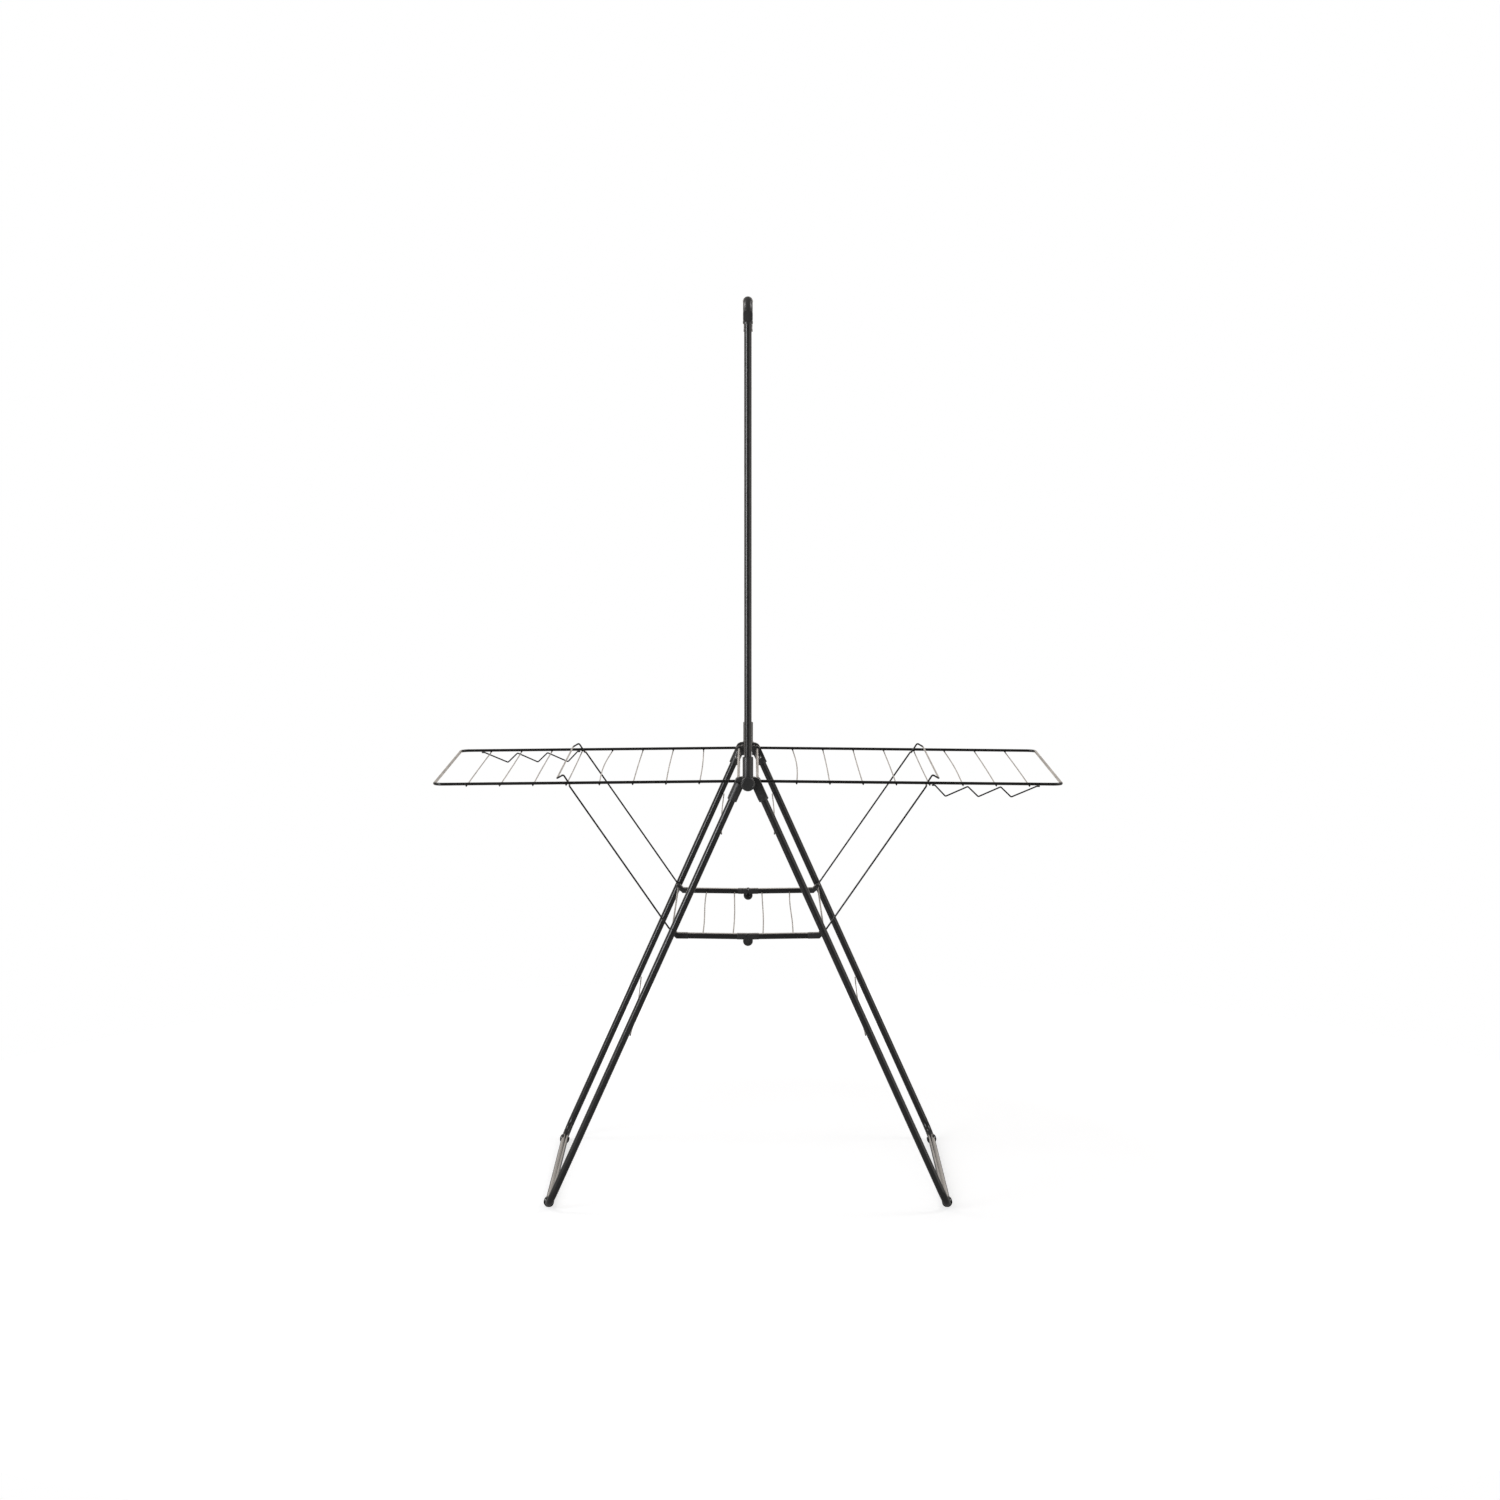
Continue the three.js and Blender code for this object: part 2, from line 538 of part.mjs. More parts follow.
// ---- assembly -----------------------------------------------------------------------------------
// Everything on the right leg frame. The left half is the same set of pieces turned half round about Z,
// so an end of a left-hand piece takes the other end's name.
function sideOfAirer(hand) {
  const group = new THREE.Group();
  const endName = (side) => ((side < 0) === (hand === 'right') ? 'near' : 'far');
  const add = (name, geometry, material) => group.add(part(name, geometry, material));
  add(`leg_frame_${hand}`, legFrame(), tubeFinish());
  for (const { side } of ENDS) {
    add(`leg_connector_${hand}_${endName(side)}`, legConnector(side), plasticFinish());
    add(`foot_ring_${hand}_${endName(side)}`, footRing(side), rubberFinish());
    add(`brace_bar_${hand}_${endName(side)}`, braceBar(side), tubeFinish());
  }
  ['upper', 'lower'].forEach((place, i) => {
    add(`leg_cross_wire_${hand}_${place}`, crossWire(CROSS_WIRE_S[i]), wireFinish());
  });
  add(`wing_frame_${hand}`, wingFrame(), wireFinish());
  for (let i = 0; i < LINE_COUNT; i += 1) {
    add(`drying_line_${hand}_${i + 1}`, dryingLine(i), wireFinish());
  }
  add(`hanger_hook_wire_${hand}`, hookWire(), wireFinish());
  add(`wing_support_${hand}`, wingSupport(), wireFinish());
  ['inner', 'outer'].forEach((place, i) => {
    add(`brace_line_${hand}_${place}`, braceLine(BRACE_LINE_X[i]), wireFinish());
  });
  add(`brace_shaft_${hand}`, braceShaft(), wireFinish());
  return group;
}

const airer = new THREE.Group();
for (const { end, side } of ENDS) {
  airer.add(part(`hub_${end}`, hub(side), plasticFinish()));
  airer.add(part(`pivot_bolt_${end}`, pivotBolt(side), pinFinish()));
  airer.add(part(`pivot_cap_${end}`, pivotCap(side), plasticFinish()));
  airer.add(part(`rod_upright_${end}`, upright(side), tubeFinish()));
  airer.add(part(`rod_corner_${end}`, rodCorner(side), plasticFinish()));
  airer.add(part(`knuckle_pin_${end}`, knucklePin(side), pinFinish()));
}
airer.add(part('rod_top_bar', topBar(), tubeFinish()));

const right = sideOfAirer('right');
const left = sideOfAirer('left');
left.rotation.z = Math.PI;
airer.add(right, left);

export default airer;
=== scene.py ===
"""Looks of a free-standing folding clothes airer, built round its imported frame.

Metres, +Z up. X runs across the wings and Y along the drying lines; the end at -Y is the near one.
Every tube, wire and moulding is placed from the frame's own boxes and joints.
The left half is the right half turned half round about Z, so its two ends swap names.
"""
import json
import math

import bmesh
import bpy
from mathutils import Matrix, Vector


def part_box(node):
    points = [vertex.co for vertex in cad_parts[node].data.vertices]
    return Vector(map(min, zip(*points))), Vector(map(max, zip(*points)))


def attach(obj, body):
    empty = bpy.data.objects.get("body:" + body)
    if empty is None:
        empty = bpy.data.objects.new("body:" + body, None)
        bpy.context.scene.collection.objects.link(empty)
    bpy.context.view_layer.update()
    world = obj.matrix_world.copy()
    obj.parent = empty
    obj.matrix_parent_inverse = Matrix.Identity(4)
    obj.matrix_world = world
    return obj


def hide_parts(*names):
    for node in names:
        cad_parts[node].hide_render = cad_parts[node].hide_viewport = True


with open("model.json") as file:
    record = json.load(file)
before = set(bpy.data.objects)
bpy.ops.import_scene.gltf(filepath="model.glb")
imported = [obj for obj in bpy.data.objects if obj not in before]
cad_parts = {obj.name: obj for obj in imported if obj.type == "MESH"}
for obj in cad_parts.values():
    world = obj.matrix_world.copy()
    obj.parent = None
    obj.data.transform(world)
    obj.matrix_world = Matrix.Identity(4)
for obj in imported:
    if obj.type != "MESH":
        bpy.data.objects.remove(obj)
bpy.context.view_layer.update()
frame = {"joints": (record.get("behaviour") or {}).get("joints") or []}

HANDS = ("right", "left")
ENDS = {"near": -1, "far": 1}  # the side of Y of each end
MM = 0.001
HALF_TURN = Matrix.Rotation(math.pi, 4, "Z")

# ---- sizes that the frame doesn't say -----------------------------------------------------------
TUBE_R = 7.5 * MM
TUBE_WALL = 1.2 * MM
RAIL_R = 3.0 * MM
ARM_R = 1.8 * MM
LINE_R = 1.3 * MM
HOOK_WIRE_R = 1.5 * MM

LEG_OFFSET = 14.5 * MM  # leg centreline to the main pivot axis
LEG_TOP = 17 * MM  # start of the tube, measured down the leg
LEG_BEND_R = 40 * MM
SLEEVE_R = 10.2 * MM
SLEEVE_START = 9 * MM
SLEEVE_END = 47.8 * MM
EYE_R = 12.6 * MM
EYE_THICKNESS = 9.6 * MM
EYE_SHIFT = 0.3 * MM
BOLT_R = 4 * MM
HUB_BOSS_R = 13.6 * MM
LUG_R = 6.4 * MM
LUG_WIDTH = 7 * MM
CLEARANCE = 0.3 * MM

TUBE_SIDES = 40
SLEEVE_SIDES = 48
RAIL_SIDES = 24
WIRE_SIDES = 16
RIVET_SIDES = 32
ROUND_SIDES = 64
ALONG_Y = (0, 1, 0)
UPRIGHT = (0, 0, 1)
STEP_ANGLE = math.radians(6)  # turn between two rings round a bend


# ---- places read from the frame -----------------------------------------------------------------
def middle(node):
    low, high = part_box(node)
    return (low + high) / 2


def depths(node):
    """How far a piece of one end reaches from the middle of the airer: its inner and outer face."""
    low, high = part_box(node)
    return sorted((abs(low.y), abs(high.y)))


def joint_at(name):
    return Vector(next(j for j in frame["joints"] if j["name"] == name)["pos_m"])


PIVOT_Z = joint_at("leg_right_fold").z
WING_PIVOT_X = joint_at("wing_right_fold").x
ARM_PIVOT = joint_at("support_right_swing")
KNUCKLE_Z = joint_at("brace_right_fold").z

LEG_LOW, LEG_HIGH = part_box("leg_frame_right")
LEG_Y = LEG_HIGH.y - TUBE_R
FLOOR_BAR = Vector((LEG_HIGH.x - TUBE_R, 0, LEG_LOW.z + TUBE_R))
LEG_REACH = math.hypot(FLOOR_BAR.x, PIVOT_Z - FLOOR_BAR.z)
LEG_LENGTH = math.sqrt(LEG_REACH ** 2 - LEG_OFFSET ** 2)
LEAN = math.atan2(FLOOR_BAR.x, PIVOT_Z - FLOOR_BAR.z) - math.asin(LEG_OFFSET / LEG_REACH)

WING_LOW, WING_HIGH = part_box("wing_frame_right")
RAIL_Y = WING_HIGH.y - RAIL_R
OUTER_BAR = Vector((WING_HIGH.x - RAIL_R, 0, WING_LOW.z + RAIL_R))
WING_LENGTH = math.hypot(OUTER_BAR.x - WING_PIVOT_X, PIVOT_Z - OUTER_BAR.z)
DROOP = math.atan2(PIVOT_Z - OUTER_BAR.z, OUTER_BAR.x - WING_PIVOT_X)


def on_leg(s, n, y):
    """A point of the right leg frame: s down the leg and n outwards from the main pivot axis."""
    x = s * math.sin(LEAN) + n * math.cos(LEAN)
    z = PIVOT_Z - s * math.cos(LEAN) + n * math.sin(LEAN)
    return Vector((x, y, z))


def on_wing(d, h, y):
    """A point of the right wing: d out from its pivot and h above the middle of its rails."""
    x = WING_PIVOT_X + d * math.cos(DROOP) + h * math.sin(DROOP)
    z = PIVOT_Z - d * math.sin(DROOP) + h * math.cos(DROOP)
    return Vector((x, y, z))


# ---- steps inside a node tree -------------------------------------------------------------------
def ramp_in(tree, value, low, high, to_low=0.0, to_high=1.0, curve="SMOOTHSTEP"):
    """value from low to high, spread from to_low to to_high."""
    node = tree.nodes.new("ShaderNodeMapRange")
    node.interpolation_type = curve
    for label, number in (("From Min", low), ("From Max", high), ("To Min", to_low), ("To Max", to_high)):
        node.inputs[label].default_value = number
    tree.links.new(value, node.inputs["Value"])
    return node.outputs["Result"]


def math_in(tree, operation, *values):
    node = tree.nodes.new("ShaderNodeMath")
    node.operation = operation
    for socket, value in zip(node.inputs, values):
        tree.links.new(value, socket)
    return node.outputs[0]


def mixed_colour(tree, factor, a, b):
    """a where factor is 0 and b where it is 1. Each is a colour or an output socket."""
    node = tree.nodes.new("ShaderNodeMix")
    node.data_type = "RGBA"
    for label, colour in (("A", a), ("B", b)):
        if isinstance(colour, tuple):
            node.inputs[label].default_value = (*colour, 1)
        else:
            tree.links.new(colour, node.inputs[label])
    tree.links.new(factor, node.inputs["Factor"])
    return node.outputs["Result"]


# ---- camera, light and floor --------------------------------------------------------------------
CAMERA_AT = Vector((4.2 * MM, -6.52, 1.647))
CAMERA_DOWN = math.radians(6.4)
CAMERA_LENS = 74.4
CAMERA_SENSOR = 36
CAMERA_FAR = 60

WHITE = (1.0, 1.0, 1.0)
COOL_LIGHT = (0.96, 0.97, 1.0)
WARM_LIGHT = (1.0, 0.97, 0.94)
UPPER_LIGHT = (1.0, 0.98, 0.96)
LIGHTS_AIM = Vector((0, 0, 0.9))

FRONT_DARK = (0.15, 0.15, 0.152)
SIDE_WALL = (0.6, 0.585, 0.56)
BACK_WALL = (1.3, 1.2, 1.1)
# Where the walls start and are full, in a direction one long: of |X| + Y, of Y, and of Z.
SIDE_START, SIDE_FULL = -0.8, 0.1
BACK_START, BACK_FULL = 0.8, 0.96
FADE_START, FADE_END = 0.15, 0.45
LEFT_ABOVE = 0.3  # share of the walls' light that is left above them

FLOOR_REACH = 2.2
FLOOR_SIDES = 96
FLOOR_ROUGHNESS = 0.75
FLOOR_AS_LIGHT = (0.42, 0.42, 0.42)
FLOOR_TO_EYE = (0.5, 0.505, 0.515)
GLOW_START = 0.9  # distance from the middle at which the glow begins to rise
GLOW_MIDDLE, GLOW_RIM = 0.66, 0.9


def place_camera():
    data = bpy.data.cameras.new("camera")
    data.lens = CAMERA_LENS
    data.sensor_width = CAMERA_SENSOR
    data.clip_end = CAMERA_FAR
    camera = bpy.data.objects.new("camera", data)
    camera.location = CAMERA_AT
    camera.rotation_euler = (math.pi / 2 - CAMERA_DOWN, 0, 0)
    bpy.context.scene.collection.objects.link(camera)
    bpy.context.scene.camera = camera


def soft_box(name, azimuth, height, distance, size, power, colour):
    """A soft box round the airer: azimuth 0 is the camera's side and 90 the right."""
    data = bpy.data.lights.new(name, "AREA")
    data.shape = "RECTANGLE"
    data.size, data.size_y = size
    data.energy = power
    data.color = colour
    light = bpy.data.objects.new(name, data)
    a = math.radians(azimuth)
    light.location = (distance * math.sin(a), -distance * math.cos(a), height)
    aim = LIGHTS_AIM - light.location
    light.rotation_euler = aim.to_track_quat("-Z", "Y").to_euler()
    bpy.context.scene.collection.objects.link(light)


def studio_world():
    """White all round to the eye. As light, it is a low bright wall, dark in front of the airer."""
    world = bpy.data.worlds.new("studio")
    bpy.context.scene.world = world
    world.use_nodes = True
    tree = world.node_tree
    tree.nodes.clear()
    where = tree.nodes.new("ShaderNodeTexCoord")
    axes = tree.nodes.new("ShaderNodeSeparateXYZ")
    tree.links.new(where.outputs["Generated"], axes.inputs[0])
    aside = math_in(tree, "ABSOLUTE", axes.outputs["X"])
    turned = math_in(tree, "ADD", aside, axes.outputs["Y"])
    sides = ramp_in(tree, turned, SIDE_START, SIDE_FULL)
    low = ramp_in(tree, axes.outputs["Z"], FADE_START, FADE_END, 1.0, LEFT_ABOVE)
    behind = ramp_in(tree, axes.outputs["Y"], BACK_START, BACK_FULL)
    wall = mixed_colour(tree, behind, SIDE_WALL, BACK_WALL)
    walls = mixed_colour(tree, math_in(tree, "MULTIPLY", sides, low), FRONT_DARK, wall)
    seen = tree.nodes.new("ShaderNodeLightPath").outputs["Is Camera Ray"]
    back = tree.nodes.new("ShaderNodeBackground")
    out = tree.nodes.new("ShaderNodeOutputWorld")
    tree.links.new(mixed_colour(tree, seen, walls, WHITE), back.inputs["Color"])
    tree.links.new(back.outputs["Background"], out.inputs["Surface"])


def floor_finish():
    """Nearly as white as the walls to the eye, and duller in the light that it throws back."""
    material = bpy.data.materials.new("pale floor")
    material.use_nodes = True
    tree = material.node_tree
    shader = tree.nodes["Principled BSDF"]
    seen = tree.nodes.new("ShaderNodeLightPath").outputs["Is Camera Ray"]
    base = mixed_colour(tree, seen, FLOOR_AS_LIGHT, FLOOR_TO_EYE)
    tree.links.new(base, shader.inputs["Base Color"])
    shader.inputs["Roughness"].default_value = FLOOR_ROUGHNESS
    shader.inputs["Emission Color"].default_value = (*WHITE, 1)
    where = tree.nodes.new("ShaderNodeTexCoord")
    away = tree.nodes.new("ShaderNodeVectorMath")
    away.operation = "LENGTH"
    tree.links.new(where.outputs["Object"], away.inputs[0])
    glow = ramp_in(tree, away.outputs["Value"], GLOW_START, FLOOR_REACH, GLOW_MIDDLE, GLOW_RIM, "LINEAR")
    tree.links.new(math_in(tree, "MULTIPLY", glow, seen), shader.inputs["Emission Strength"])
    return material


def lay_floor():
    bm = bmesh.new()
    bmesh.ops.create_circle(bm, cap_ends=True, radius=FLOOR_REACH, segments=FLOOR_SIDES)
    mesh = bpy.data.meshes.new("studio_floor")
    bm.to_mesh(mesh)
    bm.free()
    mesh.materials.append(floor_finish())
    floor = bpy.data.objects.new("studio_floor", mesh)
    bpy.context.scene.collection.objects.link(floor)


# ---- shells -------------------------------------------------------------------------------------
def bend(corners):
    """A smooth line through corners of (point, bend radius), as close points."""
    points = []
    for i, (point, radius) in enumerate(corners):
        if not radius:
            points.append(point.copy())
            continue
        before = (corners[i - 1][0] - point).normalized()
        after = (corners[(i + 1) % len(corners)][0] - point).normalized()
        half = before.angle(after) / 2
        centre = point + (before + after).normalized() * radius / math.sin(half)
        start = point + before * radius / math.tan(half) - centre
        end = point + after * radius / math.tan(half) - centre
        axis = start.cross(end).normalized()
        turn = math.pi - 2 * half
        steps = max(2, math.ceil(turn / STEP_ANGLE))
        for k in range(steps + 1):
            points.append(centre + Matrix.Rotation(turn * k / steps, 3, axis) @ start)
    return points


def rings_along(points, radius, sides, scales=None, closed=False):
    """Rings of points round a line, each square to it and carried along without twist."""
    rings = []
    side = None
    last = len(points) - 1
    for i, p in enumerate(points):
        back = p - points[i - 1] if i or closed else points[1] - p
        out = points[(i + 1) % len(points)] - p if i < last or closed else back
        along = (back.normalized() + out.normalized()).normalized()
        side = side or along.orthogonal()
        side = (side - along * side.dot(along)).normalized()
        other = along.cross(side)
        r = radius * (scales[i] if scales else 1)
        rings.append([
            p + (side * math.cos(a) + other * math.sin(a)) * r
            for a in (math.tau * k / sides for k in range(sides))
        ])
    return rings


def skin(bm, rings, closed=False):
    """Quads between rings of points. Where the rings don't close on themselves, each end gets a face."""
    grid = [[bm.verts.new(p) for p in ring] for ring in rings]
    pairs = list(zip(grid, grid[1:]))
    if closed:
        pairs.append((grid[-1], grid[0]))
    else:
        bm.faces.new(reversed(grid[0]))
        bm.faces.new(grid[-1])
    for a, b in pairs:
        for k in range(len(a)):
            m = (k + 1) % len(a)
            bm.faces.new((a[k], a[m], b[m], b[k]))


def rod(bm, points, radius, sides, dome=0.6):
    """A solid wire along points, with softly domed ends."""
    first = (points[0] - points[1]).normalized()
    last = (points[-1] - points[-2]).normalized()
    depth = radius * dome
    start, stop = points[0] - first * depth, points[-1] - last * depth
    turns = [math.radians(a) for a in (20, 40, 60, 80)]
    line = [start + first * depth * math.sin(a) for a in reversed(turns)]
    line += [start, *points[1:-1], stop]
    line += [stop + last * depth * math.sin(a) for a in turns]
    shrink = [math.cos(a) for a in turns]
    scales = [*reversed(shrink), *[1] * len(points), *shrink]
    skin(bm, rings_along(line, radius, sides, scales))


def pipe(bm, points, radius, wall, sides):
    """A tube along points, open at both ends."""
    outer = rings_along(points, radius, sides)
    inner = rings_along(points, radius - wall, sides)
    skin(bm, outer + inner[::-1], closed=True)


def lathe(bm, profile, centre, axis, sides=ROUND_SIDES):
    """A solid turned about axis through centre, from (radius, place along the axis) steps."""
    along = Vector(axis).normalized()
    side = along.orthogonal().normalized()
    other = along.cross(side)
    skin(bm, [
        [
            Vector(centre) + along * place + (side * math.cos(a) + other * math.sin(a)) * radius
            for a in (math.tau * k / sides for k in range(sides))
        ]
        for radius, place in profile
    ])


def barrel(radius, low, high, lip, steps=4):
    """Profile of a cylinder from low to high, with rims rounded by lip."""
    turns = [math.pi / 2 * k / steps for k in range(steps + 1)]
    bottom = [(radius - lip * (1 - math.sin(a)), low + lip * (1 - math.cos(a))) for a in turns]
    top = [(r, high + low - place) for r, place in reversed(bottom)]
    return bottom + top


def arc(x, z, radius, start, stop, steps):
    """Points of an outline round (x, z), from start to stop in degrees."""
    angles = [math.radians(start + (stop - start) * k / steps) for k in range(steps + 1)]
    return [(x + radius * math.cos(a), z + radius * math.sin(a)) for a in angles]


def rounded_box(x0, x1, z0, z1, corner):
    """Outline of a rectangle with rounded corners."""
    return [
        *arc(x1 - corner, z1 - corner, corner, 0, 90, 5),
        *arc(x0 + corner, z1 - corner, corner, 90, 180, 5),
        *arc(x0 + corner, z0 + corner, corner, 180, 270, 5),
        *arc(x1 - corner, z0 + corner, corner, 270, 360, 5),
    ]


def slab(bm, outline, y0, y1, lip, steps=3):
    """A plate with an outline in X and Z and rounded rims, from y0 to y1."""
    points = [Vector(p) for p in outline]
    following = points[1:] + points[:1]
    if sum(a.x * b.y - b.x * a.y for a, b in zip(points, following)) < 0:
        points.reverse()
    inward = []
    for i, here in enumerate(points):
        e1 = (here - points[i - 1]).normalized()
        e2 = (points[(i + 1) % len(points)] - here).normalized()
        n1, n2 = Vector((-e1.y, e1.x)), Vector((-e2.y, e2.x))
        n = (n1 + n2).normalized()
        inward.append(n / max(0.5, n.dot(n1)))

    def ring(inset, y):
        return [Vector((p.x + n.x * inset, y, p.y + n.y * inset)) for p, n in zip(points, inward)]

    turns = [math.pi / 2 * k / steps for k in range(steps + 1)]
    front = [ring(lip * (1 - math.sin(a)), y0 + lip * (1 - math.cos(a))) for a in turns]
    back = [ring(lip * (1 - math.sin(a)), y1 - lip * (1 - math.cos(a))) for a in reversed(turns)]
    skin(bm, front + back)


def span(side, a, b):
    """The two depths a and b from the middle, at the end on that side of Y, lower first."""
    return sorted((side * a, side * b))


def fused(solids, holes=()):
    """One closed shell: the solids joined, then the holes cut away. Each entry fills a new bmesh."""
    made = []
    for fill in [*solids, *holes]:
        bm = bmesh.new()
        fill(bm)
        bmesh.ops.recalc_face_normals(bm, faces=bm.faces)
        mesh = bpy.data.meshes.new("solid")
        bm.to_mesh(mesh)
        bm.free()
        made.append(bpy.data.objects.new("solid", mesh))
        bpy.context.scene.collection.objects.link(made[-1])
    for i, other in enumerate(made[1:], 1):
        step = made[0].modifiers.new("step", "BOOLEAN")
        step.operation = "UNION" if i < len(solids) else "DIFFERENCE"
        step.solver = "EXACT"
        step.object = other
    bm = bmesh.new()
    bm.from_object(made[0], bpy.context.evaluated_depsgraph_get())
    for obj in made:
        mesh = obj.data
        bpy.data.objects.remove(obj)
        bpy.data.meshes.remove(mesh)
    return bm


def round_bar(radius, low, high, at, axis=ALONG_Y):
    """Fills a bmesh with a plain round bar, from low to high along axis, as seen from at."""
    return lambda bm: lathe(bm, [(radius, low), (radius, high)], at, axis)


def round_boss(radius, low, high, lip, at, axis=ALONG_Y):
    """Fills a bmesh with the same bar, its rims rounded by lip."""
    return lambda bm: lathe(bm, barrel(radius, low, high, lip), at, axis)


def plate(outline, low, high, lip):
    """Fills a bmesh with a plate of that outline in X and Z, from low to high in Y."""
    return lambda bm: slab(bm, outline, low, high, lip)


def rolled_rim(centre, roll):
    """Profile steps over a rolled rim, from its outer to its inner side."""
    turns = [math.pi * k / 8 for k in range(9)]
    return [(centre + roll * math.cos(a), roll * 0.8 * math.sin(a)) for a in turns]


SHARP = math.radians(35)


def piece(name, bm, body, slot, material, *nodes, hand="right"):
    """A finished piece that rides on a body and stands for the CAD nodes named."""
    if hand == "left":
        bmesh.ops.transform(bm, matrix=HALF_TURN, verts=bm.verts)
    bmesh.ops.recalc_face_normals(bm, faces=bm.faces)
    mesh = bpy.data.meshes.new(name)
    bm.to_mesh(mesh)
    bm.free()
    mesh.polygons.foreach_set("use_smooth", [True] * len(mesh.polygons))
    mesh.set_sharp_from_angle(angle=SHARP)
    mesh.materials.append(material)
    obj = bpy.data.objects.new(name, mesh)
    bpy.context.scene.collection.objects.link(obj)
    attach(obj, body)
    if nodes:
        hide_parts(*nodes)


def filled(fill, *args, **kwargs):
    """A new bmesh with one shape in it."""
    bm = bmesh.new()
    fill(bm, *args, **kwargs)
    return bm


# ---- effects shared by the finishes -------------------------------------------------------------
def new_group(name, inputs, outputs):
    tree = bpy.data.node_groups.new(name, "ShaderNodeTree")
    for label, value in inputs.items():
        socket = tree.interface.new_socket(label, in_out="INPUT", socket_type="NodeSocketFloat")
        socket.default_value = value
    for label in outputs:
        tree.interface.new_socket(label, in_out="OUTPUT", socket_type="NodeSocketFloat")
    return tree, tree.nodes.new("NodeGroupInput"), tree.nodes.new("NodeGroupOutput")


def noise_in(tree, scale, detail, roughness):
    """A noise texture in the airer's own space. scale is an output socket."""
    where = tree.nodes.new("ShaderNodeTexCoord")
    noise = tree.nodes.new("ShaderNodeTexNoise")
    noise.inputs["Detail"].default_value = detail
    noise.inputs["Roughness"].default_value = roughness
    tree.links.new(where.outputs["Object"], noise.inputs["Vector"])
    tree.links.new(scale, noise.inputs["Scale"])
    return noise.outputs["Fac"]


def coat_skin_group():
    """Powder coat: a fine orange peel, and broad patches that are a little duller."""
    scales = {"Peel Scale": 900.0, "Patch Scale": 14.0}
    tree, given, out = new_group("coat skin", scales, ("Height", "Patches"))
    peel = noise_in(tree, given.outputs["Peel Scale"], detail=2, roughness=0.45)
    cloud = noise_in(tree, given.outputs["Patch Scale"], detail=5, roughness=0.6)
    tree.links.new(peel, out.inputs["Height"])
    tree.links.new(ramp_in(tree, cloud, 0.32, 0.68), out.inputs["Patches"])
    return tree


def worn_edge_group():
    """A mask of raised edges where handling has polished or thinned the surface."""
    tree, given, out = new_group("worn edges", {"Amount": 1.0, "Break Scale": 160.0}, ("Mask",))
    shape = tree.nodes.new("ShaderNodeNewGeometry")
    edges = ramp_in(tree, shape.outputs["Pointiness"], 0.53, 0.62)
    cloud = noise_in(tree, given.outputs["Break Scale"], detail=4, roughness=0.65)
    broken = math_in(tree, "MULTIPLY", edges, ramp_in(tree, cloud, 0.42, 0.66))
    mask = math_in(tree, "MULTIPLY", broken, given.outputs["Amount"])
    tree.links.new(mask, out.inputs["Mask"])
    return tree


def dust_group():
    """A mask of fine dust on faces that look up."""
    tree, given, out = new_group("settled dust", {"Amount": 1.0, "Fleck Scale": 60.0}, ("Mask",))
    shape = tree.nodes.new("ShaderNodeNewGeometry")
    axes = tree.nodes.new("ShaderNodeSeparateXYZ")
    tree.links.new(shape.outputs["Normal"], axes.inputs[0])
    up = ramp_in(tree, axes.outputs["Z"], 0.35, 1.0)
    cloud = noise_in(tree, given.outputs["Fleck Scale"], detail=6, roughness=0.7)
    flecks = math_in(tree, "MULTIPLY", up, ramp_in(tree, cloud, 0.38, 0.7))
    mask = math_in(tree, "MULTIPLY", flecks, given.outputs["Amount"])
    tree.links.new(mask, out.inputs["Mask"])
    return tree


COAT_SKIN = coat_skin_group()
WORN_EDGES = worn_edge_group()
DUST = dust_group()


# ---- finishes -----------------------------------------------------------------------------------
DUST_COLOUR = (0.22, 0.21, 0.2)
COAT_RELIEF = 0.6
STEEL_RELIEF = 0.4
STEEL_GRAIN, STEEL_PATCHES = 1500.0, 90.0
STEEL_GRAIN_DEPTH = 0.03 * MM
STEEL_ROUGHNESS = (0.22, 0.36)


def placed(tree, group, **values):
    node = tree.nodes.new("ShaderNodeGroup")
    node.node_tree = group
    for label, value in values.items():
        node.inputs[label.replace("_", " ").title()].default_value = value
    return node


def finish(name):
    material = bpy.data.materials.new(name)
    material.use_nodes = True
    return material, material.node_tree, material.node_tree.nodes["Principled BSDF"]


def give_skin(tree, shader, coat, roughness, strength, depth):
    """Roughness that follows the coat's patches, and the coat's fine relief."""
    patchy = ramp_in(tree, coat.outputs["Patches"], 0, 1, *roughness)
    tree.links.new(patchy, shader.inputs["Roughness"])
    bump = tree.nodes.new("ShaderNodeBump")
    bump.inputs["Strength"].default_value = strength
    bump.inputs["Distance"].default_value = depth
    tree.links.new(coat.outputs["Height"], bump.inputs["Height"])
    tree.links.new(bump.outputs["Normal"], shader.inputs["Normal"])


def dark_finish(name, colour, shade, roughness, peel_scale, peel_depth, wear, worn, dust):
    """A dark coat or moulding: two shades in patches, polished edges, a little dust and a fine relief."""
    material, tree, shader = finish(name)
    coat = placed(tree, COAT_SKIN, peel_scale=peel_scale)
    edges = placed(tree, WORN_EDGES, amount=wear)
    specks = placed(tree, DUST, amount=dust)
    base = mixed_colour(tree, coat.outputs["Patches"], colour, shade)
    base = mixed_colour(tree, edges.outputs["Mask"], base, worn)
    base = mixed_colour(tree, specks.outputs["Mask"], base, DUST_COLOUR)
    tree.links.new(base, shader.inputs["Base Color"])
    give_skin(tree, shader, coat, roughness, COAT_RELIEF, peel_depth)
    return material


